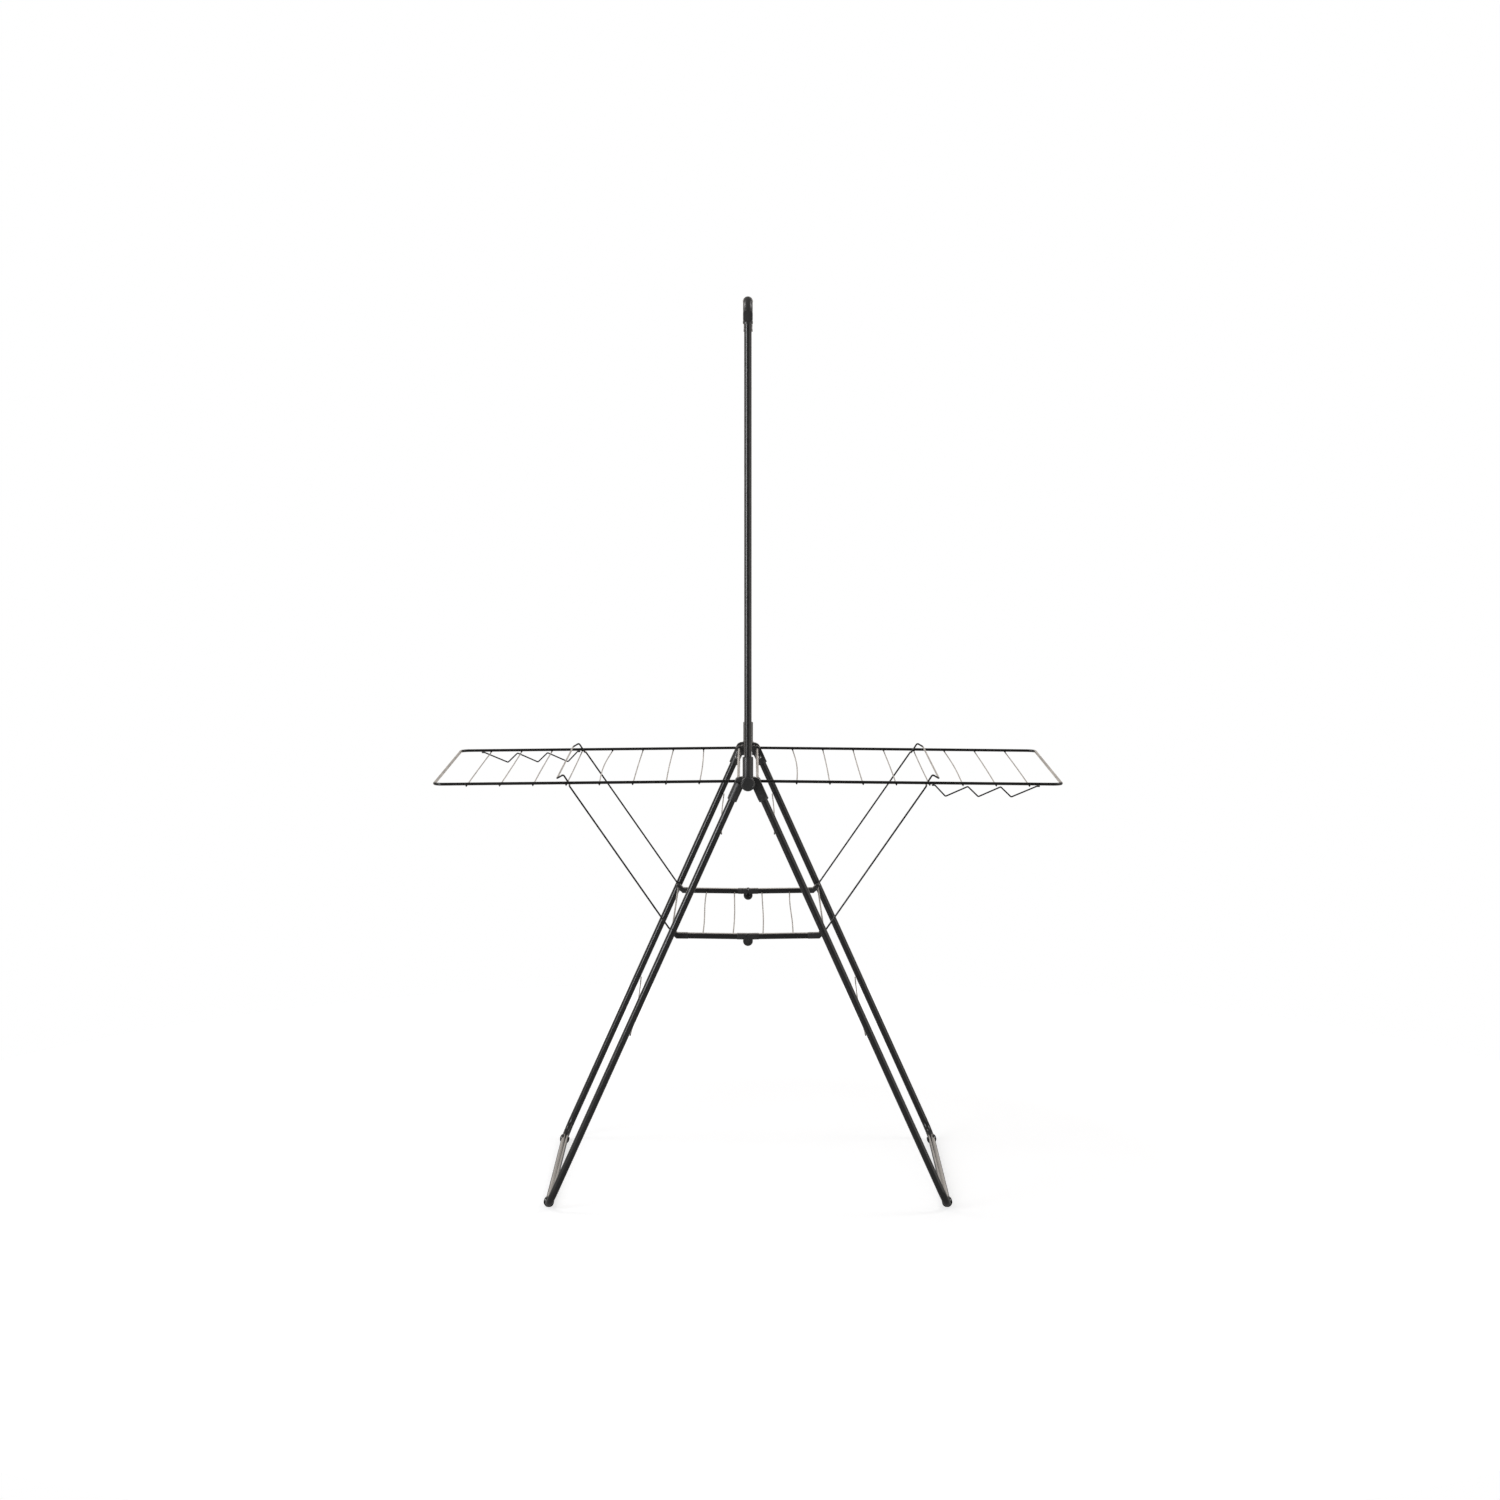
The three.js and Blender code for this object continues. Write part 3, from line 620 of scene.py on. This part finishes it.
def plated_steel(name, bright, dull):
    """Turned and plated steel: a fine grain and slightly dulled patches."""
    material, tree, shader = finish(name)
    shader.inputs["Metallic"].default_value = 1.0
    coat = placed(tree, COAT_SKIN, peel_scale=STEEL_GRAIN, patch_scale=STEEL_PATCHES)
    base = mixed_colour(tree, coat.outputs["Patches"], bright, dull)
    tree.links.new(base, shader.inputs["Base Color"])
    give_skin(tree, shader, coat, STEEL_ROUGHNESS, STEEL_RELIEF, STEEL_GRAIN_DEPTH)
    return material


TUBE_COAT = dark_finish(
    "tube coat",
    colour=(0.016, 0.016, 0.0165),
    shade=(0.019, 0.0187, 0.0187),
    roughness=(0.18, 0.23),
    peel_scale=950.0,
    peel_depth=0.0018 * MM,
    wear=0.35,
    worn=(0.05, 0.048, 0.046),
    dust=0.04,
)
WIRE_COAT = dark_finish(
    "wire coat",
    colour=(0.007, 0.0065, 0.0062),
    shade=(0.0095, 0.0088, 0.0082),
    roughness=(0.22, 0.28),
    peel_scale=1200.0,
    peel_depth=0.005 * MM,
    wear=0.3,
    worn=(0.05, 0.047, 0.044),
    dust=0.03,
)
MOULDING = dark_finish(
    "moulded plastic",
    colour=(0.028, 0.028, 0.0284),
    shade=(0.033, 0.0328, 0.0328),
    roughness=(0.32, 0.4),
    peel_scale=1500.0,
    peel_depth=0.006 * MM,
    wear=0.5,
    worn=(0.08, 0.079, 0.077),
    dust=0.05,
)
GLOSSY_MOULDING = dark_finish(
    "smooth plastic",
    colour=(0.034, 0.0337, 0.0333),
    shade=(0.039, 0.0385, 0.038),
    roughness=(0.28, 0.34),
    peel_scale=1500.0,
    peel_depth=0.008 * MM,
    wear=0.5,
    worn=(0.08, 0.079, 0.077),
    dust=0.05,
)
RUBBER = dark_finish(
    "foot rubber",
    colour=(0.016, 0.0158, 0.0155),
    shade=(0.022, 0.0215, 0.021),
    roughness=(0.5, 0.65),
    peel_scale=1100.0,
    peel_depth=0.05 * MM,
    wear=0.6,
    worn=(0.06, 0.058, 0.056),
    dust=0.08,
)
STEEL = plated_steel("bright steel", bright=(0.66, 0.65, 0.63), dull=(0.5, 0.48, 0.45))
BLACKENED_STEEL = plated_steel("blackened steel", bright=(0.05, 0.05, 0.05), dull=(0.035, 0.034, 0.033))


# ---- hub and hanger rod -------------------------------------------------------------------------
def hub_moulding(end, side):
    """A boss round the main bolt, with an upright socket for the hanger rod."""
    back, front = depths(f"hub_{end}")
    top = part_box(f"hub_{end}")[1].z
    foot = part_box(f"rod_upright_{end}")[0].z
    rod_y = middle(f"rod_upright_{end}").y
    socket_r, bore = front - abs(rod_y), TUBE_R + CLEARANCE
    boss = span(side, back, front)
    at_rod, at_bolt = (0, rod_y, 0), (0, 0, PIVOT_Z)
    mouth = [(bore, foot - MM), (bore, top - 0.6 * MM), (bore + 0.8 * MM, top + 0.4 * MM)]
    bm = fused(
        [
            round_boss(socket_r, PIVOT_Z - 4 * MM, top, 1.0 * MM, at_rod, UPRIGHT),
            round_boss(HUB_BOSS_R, *boss, 0.8 * MM, at_bolt),
        ],
        [
            lambda m: lathe(m, mouth, at_rod, UPRIGHT),
            round_bar(BOLT_R + CLEARANCE, boss[0] - MM, boss[1] + MM, at_bolt),
        ],
    )
    piece(f"hub_moulding_{end}", bm, "hub", "moulded_plastic", MOULDING, f"hub_{end}")


def turned_on_bolt(side, profile):
    """A shape turned about the main bolt, its profile given as distances from the airer's middle."""
    steps = [(radius, side * place) for radius, place in profile]
    return filled(lathe, steps, (0, 0, PIVOT_Z), ALONG_Y)


def pivot_bolt(end, side):
    """The main bolt: a domed rivet head inside and a flat head outside, under the cap."""
    inner, outer = depths(f"pivot_bolt_{end}")
    head_r, tail_r, head = 7.5 * MM, 7 * MM, 3 * MM
    dome, rim = 1.1 * MM, 0.6 * MM
    profile = [
        (tail_r * 0.35, inner),
        (tail_r * 0.7, inner + 0.3 * dome),
        (tail_r * 0.92, inner + dome),
        (tail_r, inner + 1.7 * dome),
        (tail_r, inner + head),
        (BOLT_R, inner + head),
        (BOLT_R, outer - head),
        (head_r, outer - head),
        (head_r, outer - rim),
        (head_r - rim, outer),
    ]
    bm = turned_on_bolt(side, profile)
    piece(f"bolt_{end}", bm, "hub", "bright_pin", STEEL, f"pivot_bolt_{end}")


def pivot_cap(end, side):
    """A thin cap with a chamfered rim, a fine groove inside it and a faintly dished face."""
    low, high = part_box(f"pivot_cap_{end}")
    back, front = depths(f"pivot_cap_{end}")
    r = (high.x - low.x) / 2
    hollow, inside = 7.8 * MM, back + 3.3 * MM
    shell = [
        (hollow * 0.02, inside),
        (hollow, inside),
        (hollow, back),
        (r - 0.5 * MM, back),
        (r, back + 0.5 * MM),
    ]
    face = [  # in millimetres: in from the rim, and back from the front
        (0, 2.4), (0.25, 1.9), (1.9, 0.35), (2.3, 0.1), (2.7, 0), (3.1, 0.05),
        (3.4, 0.3), (3.9, 0.3), (4.2, 0.1), (5.5, 0.14),
    ]
    dish = (r * 0.3, front - 0.3 * MM)
    bm = turned_on_bolt(side, [*shell, *((r - a * MM, front - b * MM) for a, b in face), dish])
    piece(f"cap_{end}", bm, "hub", "moulded_plastic", MOULDING, f"pivot_cap_{end}")


def rod_tube(name, node, start, stop):
    bm = filled(pipe, [start, stop], TUBE_R, TUBE_WALL, TUBE_SIDES)
    piece(name, bm, "hanger_rod", "coated_tube", TUBE_COAT, node)


def hanger_rod():
    for end, side in ENDS.items():
        node = f"rod_upright_{end}"
        low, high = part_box(node)
        x, y = middle(node).xy
        rod_tube(f"upright_tube_{end}", node, Vector((x, y, low.z)), Vector((x, y, high.z)))
        rod_corner(end, side)
    low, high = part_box("rod_top_bar")
    z = (low.z + high.z) / 2
    rod_tube("top_tube", "rod_top_bar", Vector((0, low.y, z)), Vector((0, high.y, z)))


def rod_corner(end, side):
    """An elbow with a soft collar at each mouth and a flat pad on its outer face."""
    low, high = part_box(f"rod_corner_{end}")
    inner, outer = depths(f"rod_corner_{end}")
    rod_y = abs(middle(f"rod_upright_{end}").y)
    bottom = low.z
    body_r, collar_r, collar, bend_r, lip = (v * MM for v in (9.6, 10, 6, 25, 0.7))
    bar_z = high.z - collar_r
    line = bend([
        (Vector((0, side * rod_y, bottom)), 0),
        (Vector((0, side * rod_y, bar_z)), bend_r),
        (Vector((0, side * inner, bar_z)), 0),
    ])
    pad = rounded_box(-9.7 * MM, 9.7 * MM, bottom + 4 * MM, bottom + 26 * MM, 5.5 * MM)
    bore = TUBE_R + CLEARANCE
    at_rod, at_bar = (0, side * rod_y, 0), (0, 0, bar_z)
    bm = fused(
        [
            lambda m: rod(m, line, body_r, SLEEVE_SIDES, dome=0.1),
            round_boss(collar_r, bottom, bottom + collar, lip, at_rod, UPRIGHT),
            round_boss(collar_r, *span(side, inner, inner + collar), lip, at_bar),
            plate(pad, *span(side, rod_y + 2 * MM, outer), 1.3 * MM),
        ],
        [
            round_bar(bore, bottom - MM, bottom + 14 * MM, at_rod, UPRIGHT),
            round_bar(bore, *span(side, inner - MM, inner + 13.5 * MM), at_bar),
        ],
    )
    node = f"rod_corner_{end}"
    piece(f"corner_moulding_{end}", bm, "hanger_rod", "moulded_plastic", GLOSSY_MOULDING, node)


# ---- leg frames ---------------------------------------------------------------------------------
def end_name(hand, side):
    """The right half's name for the end on that side, and the left half's for the same piece."""
    return "near" if (side < 0) == (hand == "right") else "far"


def leg_tube(hand):
    line = bend([
        (on_leg(LEG_TOP, LEG_OFFSET, -LEG_Y), 0),
        (on_leg(LEG_LENGTH, LEG_OFFSET, -LEG_Y), LEG_BEND_R),
        (on_leg(LEG_LENGTH, LEG_OFFSET, LEG_Y), LEG_BEND_R),
        (on_leg(LEG_TOP, LEG_OFFSET, LEG_Y), 0),
    ])
    bm = filled(pipe, line, TUBE_R, TUBE_WALL, TUBE_SIDES)
    node = f"leg_frame_{hand}"
    piece(f"leg_tube_{hand}", bm, f"leg_{hand}", "coated_tube", TUBE_COAT, node, hand=hand)


def eye_outline():
    """Eye round the main bolt, running out into a cheek along the sleeve."""
    outer, inner = LEG_OFFSET + SLEEVE_R, LEG_OFFSET - SLEEVE_R
    lean = math.degrees(LEAN)
    low = SLEEVE_END - 6 * MM
    from_up = 45 + lean
    to_low = lean + 360 - math.degrees(math.acos(inner / EYE_R))
    cheek = [
        on_leg(low, inner, 0),
        on_leg(low, outer, 0),
        on_leg(7 * MM, outer, 0),
        on_leg(2.5 * MM, outer - 0.8 * MM, 0),
        on_leg(-2.5 * MM, outer - 5 * MM, 0),
    ]
    return [*((p.x, p.z) for p in cheek), *arc(0, PIVOT_Z, EYE_R, from_up, to_low, 40)]


def leg_socket(hand, side):
    """Sleeve, eye and wing lug in one moulding. The near right eye lies outside, the far one inside."""
    outside = side < 0
    eye = LEG_Y + EYE_SHIFT if outside else LEG_Y - EYE_SHIFT - EYE_THICKNESS
    other = LEG_Y - EYE_THICKNESS - 0.5 * MM if outside else LEG_Y + 0.1 * MM
    lug_y = min(abs(v.y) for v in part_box(f"leg_connector_right_{end_name('right', side)}"))
    sleeve = [on_leg(s, LEG_OFFSET, side * LEG_Y) for s in (SLEEVE_START, SLEEVE_END)]
    bore = [on_leg(s, LEG_OFFSET, side * LEG_Y) for s in (LEG_TOP - MM, SLEEVE_END + 5 * MM)]
    arm = rounded_box(8.5 * MM, 15.7 * MM, PIVOT_Z - 14.5 * MM, PIVOT_Z + 7 * MM, 2 * MM)
    at_wing, at_bolt = (WING_PIVOT_X, 0, PIVOT_Z), (0, 0, PIVOT_Z)
    bm = fused(
        [
            lambda m: rod(m, sleeve, SLEEVE_R, SLEEVE_SIDES, dome=0.12),
            plate(eye_outline(), *span(side, eye, eye + EYE_THICKNESS), 1.2 * MM),
            plate(arm, *span(side, lug_y, LEG_Y - MM), 0.6 * MM),
            round_boss(LUG_R, *span(side, lug_y, lug_y + LUG_WIDTH), 0.7 * MM, at_wing),
        ],
        [
            round_bar(RAIL_R + CLEARANCE, *span(side, lug_y - MM, lug_y + LUG_WIDTH + 2 * MM), at_wing),
            round_bar(EYE_R + 0.7 * MM, *span(side, other, other + EYE_THICKNESS + 0.4 * MM), at_bolt),
            round_bar(BOLT_R + CLEARANCE, *span(side, LEG_Y - 12 * MM, LEG_Y + 12 * MM), at_bolt),
            lambda m: skin(m, rings_along(bore, TUBE_R + CLEARANCE, SLEEVE_SIDES)),
        ],
    )
    end = end_name(hand, side)
    piece(f"leg_socket_{hand}_{end}", bm, f"leg_{hand}", "moulded_plastic", MOULDING,
          f"leg_connector_{hand}_{end}", hand=hand)
    rivet_at = on_leg(30.6 * MM, LEG_OFFSET, side * (LEG_Y - SLEEVE_R + 0.5 * MM))
    bm = filled(rolled_rivet, rivet_at, -side, 3.3 * MM)
    piece(f"socket_rivet_{hand}_{end}", bm, f"leg_{hand}", "bright_pin", STEEL, hand=hand)


def rolled_rivet(bm, at, facing, radius):
    """The rolled rim of a hollow rivet, facing along +Y or -Y, with its bore sunk in the middle."""
    hole, sunk = radius * 0.45, -1.0 * MM
    roll = (radius - hole) / 2
    profile = [(radius * 0.9, -1.2 * MM), (radius, 0)]
    profile += rolled_rim(hole + roll, roll)
    profile += [(hole, sunk), (hole * 0.1, sunk)]
    lathe(bm, profile, at, (0, facing, 0), sides=RIVET_SIDES)


def foot_rubber(hand, side):
    """An open ring that grips the floor bar with six ribs, worn flat where it stands."""
    low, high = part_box(f"foot_ring_right_{end_name('right', side)}")
    x, z = FLOOR_BAR.x, FLOOR_BAR.z
    radius = high.x - x
    flat = math.degrees(math.acos(z / radius))
    slot_start, slot_end, rib = 75, 168, 7  # in degrees, up and round from the outer side
    touching, relief = TUBE_R + 0.15 * MM, TUBE_R + 1.2 * MM
    ribs = [slot_end + rib, 215, 270, 325, 360, 360 + slot_start - rib]
    outline = [
        *arc(x, z, radius, slot_end, 270 - flat, 24),
        *arc(x, z, radius, 270 + flat, 360 + slot_start, 30),
    ]
    for i, at in enumerate(reversed(ribs)):
        outline += arc(x, z, touching, at + rib, at - rib, 4)
        if i < len(ribs) - 1:
            outline += arc(x, z, relief, at - rib - 2, ribs[-i - 2] + rib + 2, 6)
    end = end_name(hand, side)
    bm = filled(slab, outline, low.y, high.y, 0.8 * MM)
    piece(f"foot_rubber_{hand}_{end}", bm, f"leg_{hand}", "foot_rubber", RUBBER,
          f"foot_ring_{hand}_{end}", hand=hand)


def leg_wires(hand):
    """Two thin wires welded across the legs, under their inner faces."""
    for place, bow in (("upper", 2.2), ("lower", -3.0)):
        line = across(f"leg_cross_wire_right_{place}", bow * MM)
        bm = filled(rod, line, LINE_R, WIRE_SIDES)
        piece(f"leg_wire_{hand}_{place}", bm, f"leg_{hand}", "coated_wire", WIRE_COAT,
              f"leg_cross_wire_{hand}_{place}", hand=hand)


def across(node, bow, wave=0.0, rise=0.0):
    """A line along Y through the node's box, bowed sideways by bow at its middle, slightly waved."""
    low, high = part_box(node)
    x, _, z = middle(node)
    start, stop = Vector((x, low.y, z + rise)), Vector((x, high.y, z + rise))
    steps = 24
    points = []
    for k in range(steps + 1):
        t = k / steps
        aside = bow * math.sin(math.pi * t) + wave * math.sin(math.tau * t)
        points.append(start.lerp(stop, t) + Vector((aside, 0, 0)))
    return points


# ---- wings --------------------------------------------------------------------------------------
INNER_BEND_R = 12 * MM
OUTER_BEND_R = 18 * MM
WELD_R = 2.1 * MM
WELD_SINK = 0.35 * MM  # how far a line is pressed into the rails by its welds
LINE_BOWS = {  # sideways bow of each drying line at its middle, in millimetres
    "right": (5.0, 1.0, -0.5, 0.8, -0.6, 3.2, 1.0, 0.8),
    "left": (-2.0, 1.2, 0.6, 6.0, -0.5, 0.8, -0.6, 0.5),
}


def wing_wire(hand):
    line = bend([
        (on_wing(0, 0, RAIL_Y), INNER_BEND_R),
        (on_wing(WING_LENGTH, 0, RAIL_Y), OUTER_BEND_R),
        (on_wing(WING_LENGTH, 0, -RAIL_Y), OUTER_BEND_R),
        (on_wing(0, 0, -RAIL_Y), INNER_BEND_R),
    ])
    bm = bmesh.new()
    skin(bm, rings_along(line, RAIL_R, RAIL_SIDES, closed=True), closed=True)
    node = f"wing_frame_{hand}"
    piece(f"wing_wire_{hand}", bm, f"wing_{hand}", "coated_wire", WIRE_COAT, node, hand=hand)


def weld(bm, at):
    """A small flattened bead where a line is welded under a rail."""
    turns = [math.radians(a) for a in range(-75, 76, 25)]
    bead = [(WELD_R * math.cos(a), WELD_R * 0.62 * math.sin(a)) for a in turns]
    lathe(bm, bead, at, UPRIGHT, sides=20)


def drying_lines(hand):
    for i in range(1, 9):
        bow = LINE_BOWS[hand][i - 1] * MM
        line = across(f"drying_line_right_{i}", bow, rise=WELD_SINK)
        x, _, z = line[0]
        solids = [lambda m: rod(m, line, LINE_R, WIRE_SIDES)]
        for side in ENDS.values():
            spot = Vector((x, side * RAIL_Y, z + 0.6 * LINE_R))
            solids.append(lambda m, spot=spot: weld(m, spot))
        piece(f"line_{hand}_{i}", fused(solids), f"wing_{hand}", "coated_wire", WIRE_COAT,
              f"drying_line_{hand}_{i}", hand=hand)


def hook_wire(hand):
    """Saw-tooth wire under one rail: steep towards the hub, gentle outwards."""
    first, pitch, steep, depth, tail, corner = (v * MM for v in (380, 66.4, 21.5, 22, 6.5, 3))
    teeth, crest_drop = 3, 1.6 * MM
    top = -(RAIL_R + HOOK_WIRE_R + 0.1 * MM)
    rest = -(RAIL_R + HOOK_WIRE_R + 0.4 * MM)

    def on(d, h, radius=0.0):
        return on_wing(d, h, -RAIL_Y), radius

    corners = [on(first - steep - tail, top), on(first - steep, top, corner)]
    for tooth in range(teeth):
        valley = first + tooth * pitch
        crest = valley + pitch - steep
        corners.append(on(valley, rest - depth, corner))
        if tooth < teeth - 1:
            corners.append(on(crest, rest - crest_drop, corner))
        else:
            corners += [on(crest + tail, top, corner), on(crest + 2 * tail, top)]
    bm = filled(rod, bend(corners), HOOK_WIRE_R, WIRE_SIDES)
    node = f"hanger_hook_wire_{hand}"
    piece(f"hook_wire_{hand}", bm, f"wing_{hand}", "coated_wire", WIRE_COAT, node, hand=hand)


def support_wire(hand):
    """Stub at the leg, arm, shoulder under the rail, hook over a line, then the bar across and back."""
    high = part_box("wing_support_right")[1]
    arm_y, hook_y, stub_y = high.y - ARM_R, 290 * MM, 304.3 * MM
    peak = Vector((373.7, 898)) * MM
    tip = Vector((high.x - ARM_R, 890.6 * MM))
    shoulder = Vector((360.5, 877.5)) * MM

    def at(x, y, z, radius=0.0):
        return Vector((x, y, z)), radius

    def half(side):
        return [
            at(ARM_PIVOT.x, side * stub_y, ARM_PIVOT.z),
            at(ARM_PIVOT.x, side * arm_y, ARM_PIVOT.z, 2.6 * MM),
            at(shoulder.x, side * arm_y, shoulder.y, 4 * MM),
            at(shoulder.x, side * hook_y, shoulder.y, 4 * MM),
            at(peak.x, side * hook_y, peak.y, 3.5 * MM),
            at(tip.x, side * hook_y, tip.y, 4 * MM),
        ]

    bm = filled(rod, bend(half(-1) + half(1)[::-1]), ARM_R, WIRE_SIDES)
    piece(f"support_wire_{hand}", bm, f"support_{hand}", "coated_wire", WIRE_COAT,
          f"wing_support_{hand}", hand=hand)


# ---- folding brace ------------------------------------------------------------------------------
STRIP_HEIGHT = 10.4 * MM
KNUCKLE_R = 10 * MM
PIN_HOLE_R = 2.7 * MM


def brace_half(hand, side):
    """A flat bar in a moulded knuckle at the middle and a moulded end at the leg."""
    inner, outer = depths(f"brace_bar_right_{end_name('right', side)}")
    centre, half = (inner + outer) / 2, (outer - inner) / 2
    ear_r, corner, gap, lip = (v * MM for v in (5.6, 3, 0.25, 0.8))
    strip_start, knuckle_end, end_start, strip_end, ear_start, foot = (
        v * MM for v in (16, 22, 122, 132, 143, 144.5))
    at_knuckle, at_leg = Vector((0, 567.3 * MM)), Vector((146, 569.4)) * MM
    slope = (at_leg.y - at_knuckle.y) / (at_leg.x - at_knuckle.x)

    def on_bar(x, up):
        return (x, at_knuckle.y + slope * x + up)

    def length_of_bar(start, stop, up):
        return [on_bar(start, -up), on_bar(stop, -up), on_bar(stop, up), on_bar(start, up)]

    sleeve = STRIP_HEIGHT / 2 + 0.45 * MM
    leg_end = [
        on_bar(end_start, -sleeve),
        *arc(foot, on_bar(foot, -sleeve)[1] + corner, corner, 270, 340, 6),
        *arc(ARM_PIVOT.x, ARM_PIVOT.z, ear_r, -60, 150, 20),
        on_bar(ear_start, sleeve),
        on_bar(end_start, sleeve),
    ]
    middle_end = length_of_bar(gap, knuckle_end, sleeve)
    strip = length_of_bar(strip_start, strip_end, STRIP_HEIGHT / 2)
    outside = side < 0
    leaf = (centre + 0.2 * MM, outer) if outside else (inner, centre - 0.2 * MM)
    other = (inner - MM, centre + 0.2 * MM) if outside else (centre - 0.2 * MM, outer + MM)
    through = span(side, centre - half - 2 * MM, centre + half + 2 * MM)
    at_pin, at_arm = (0, 0, KNUCKLE_Z), (ARM_PIVOT.x, 0, ARM_PIVOT.z)

    bar = filled(slab, strip, *span(side, inner + 0.3 * MM, outer - 0.3 * MM), lip)
    moulding = fused(
        [
            plate(middle_end, *span(side, inner, outer), lip),
            round_boss(KNUCKLE_R, *span(side, *leaf), 0.7 * MM, at_pin),
        ],
        [
            round_bar(KNUCKLE_R + 0.5 * MM, *span(side, *other), at_pin),
            round_bar(PIN_HOLE_R, *through, at_pin),
        ],
    )
    leg_moulding = fused(
        [plate(leg_end, *span(side, inner, outer), lip)],
        [round_bar(ARM_R + 0.2 * MM, *through, at_arm)],
    )
    end = end_name(hand, side)
    body, node = f"brace_{hand}", f"brace_bar_{hand}_{end}"
    piece(f"brace_strip_{hand}_{end}", bar, body, "coated_tube", TUBE_COAT, node, hand=hand)
    piece(f"brace_knuckle_{hand}_{end}", moulding, body, "moulded_plastic", MOULDING, hand=hand)
    if hand == "right":
        knuckle_stop(end, side, outer, on_bar(0, sleeve)[1])
    piece(f"brace_end_{hand}_{end}", leg_moulding, body, "moulded_plastic", MOULDING, hand=hand)


def knuckle_stop(end, side, face, top):
    """A half-round lug over the joint's outer top edge: it keeps the brace from sagging past straight."""
    half_width, rise, above, behind, proud = (v * MM for v in (4.85, 3.6, 1.1, 3, 0.5))
    half_round = arc(0, 0, half_width, 0, 180, 24)
    crown = [(x, top + above - rise + z * rise / half_width) for x, z in half_round]
    bm = filled(slab, crown, *span(side, face - behind, face + proud), 0.4 * MM)
    piece(f"knuckle_stop_{end}", bm, "brace_right", "moulded_plastic", MOULDING)


BRACE_WIRE_BOWS = {  # sideways bow and wave of each wire, in millimetres
    "right": {"inner": (1.6, 0.4), "outer": (-0.6, 1.0)},
    "left": {"inner": (-2.0, 0.3), "outer": (0.3, 1.0)},
}


def brace_wires(hand):
    for place, (bow, wave) in BRACE_WIRE_BOWS[hand].items():
        line = across(f"brace_line_right_{place}", bow * MM, wave * MM)
        bm = filled(rod, line, LINE_R, WIRE_SIDES)
        piece(f"brace_wire_{hand}_{place}", bm, f"brace_{hand}", "coated_wire", WIRE_COAT,
              f"brace_line_{hand}_{place}", hand=hand)
    low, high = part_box("brace_shaft_right")
    line = [Vector((ARM_PIVOT.x, y, ARM_PIVOT.z)) for y in (low.y, high.y)]
    bm = filled(rod, line, ARM_R, WIRE_SIDES)
    node = f"brace_shaft_{hand}"
    piece(f"cross_bar_{hand}", bm, f"brace_{hand}", "coated_wire", WIRE_COAT, node, hand=hand)


def knuckle_rivet(end, side):
    """A hollow rivet, rolled over inside, and the plug that covers it outside."""
    inner, outer = depths(f"knuckle_pin_{end}")
    shank, hole, head_back, sunk, plug = (v * MM for v in (2.4, 2.2, -0.6, -2, 1.4))
    profile = [
        (shank, -(outer - inner - 2 * MM)),
        (shank, head_back),
        (5.3 * MM, head_back),
        (5.5 * MM, 0.2 * MM),
        *rolled_rim(4.4 * MM, 1.1 * MM),
        (hole, 0.1 * MM),
        (hole, sunk),
        (0.3 * MM, sunk),
    ]
    at_head, at_plug = (0, side * (inner + MM), KNUCKLE_Z), (0, side * (outer - plug), KNUCKLE_Z)
    bm = filled(lathe, profile, at_head, (0, -side, 0), sides=RIVET_SIDES)
    node = f"knuckle_pin_{end}"
    piece(f"knuckle_rivet_{end}", bm, "brace_knuckle", "bright_pin", BLACKENED_STEEL, node)
    domed = [(r * MM, out * MM) for r, out in ((4.4, 0), (4.4, 0.5), (3.9, 1.1), (1.5, 1.35), (0.2, 1.4))]
    bm = filled(lathe, domed, at_plug, (0, side, 0), sides=TUBE_SIDES)
    piece(f"knuckle_plug_{end}", bm, "brace_knuckle", "moulded_plastic", MOULDING)


# ---- assembly -----------------------------------------------------------------------------------
place_camera()
studio_world()
lay_floor()
for name, azimuth, height, distance, size, power, colour in (
    ("left_box", -45, 1.45, 3.4, (1.3, 1.5), 50, COOL_LIGHT),
    ("right_box", 65, 1.0, 3.6, (2.4, 2.6), 13, WARM_LIGHT),
    ("upper_left_box", -95, 3.4, 2.4, (1.2, 1.2), 30, UPPER_LIGHT),
    ("upper_right_box", 95, 3.4, 2.4, (1.2, 1.2), 26, UPPER_LIGHT),
):
    soft_box(name, azimuth, height, distance, size, power, colour)
bpy.context.scene.view_settings.view_transform = "Standard"

for end, side in ENDS.items():
    hub_moulding(end, side)
    pivot_bolt(end, side)
    pivot_cap(end, side)
    knuckle_rivet(end, side)
hanger_rod()
for hand in HANDS:
    leg_tube(hand)
    leg_wires(hand)
    wing_wire(hand)
    drying_lines(hand)
    hook_wire(hand)
    support_wire(hand)
    brace_wires(hand)
    for side in ENDS.values():
        leg_socket(hand, side)
        foot_rubber(hand, side)
        brace_half(hand, side)
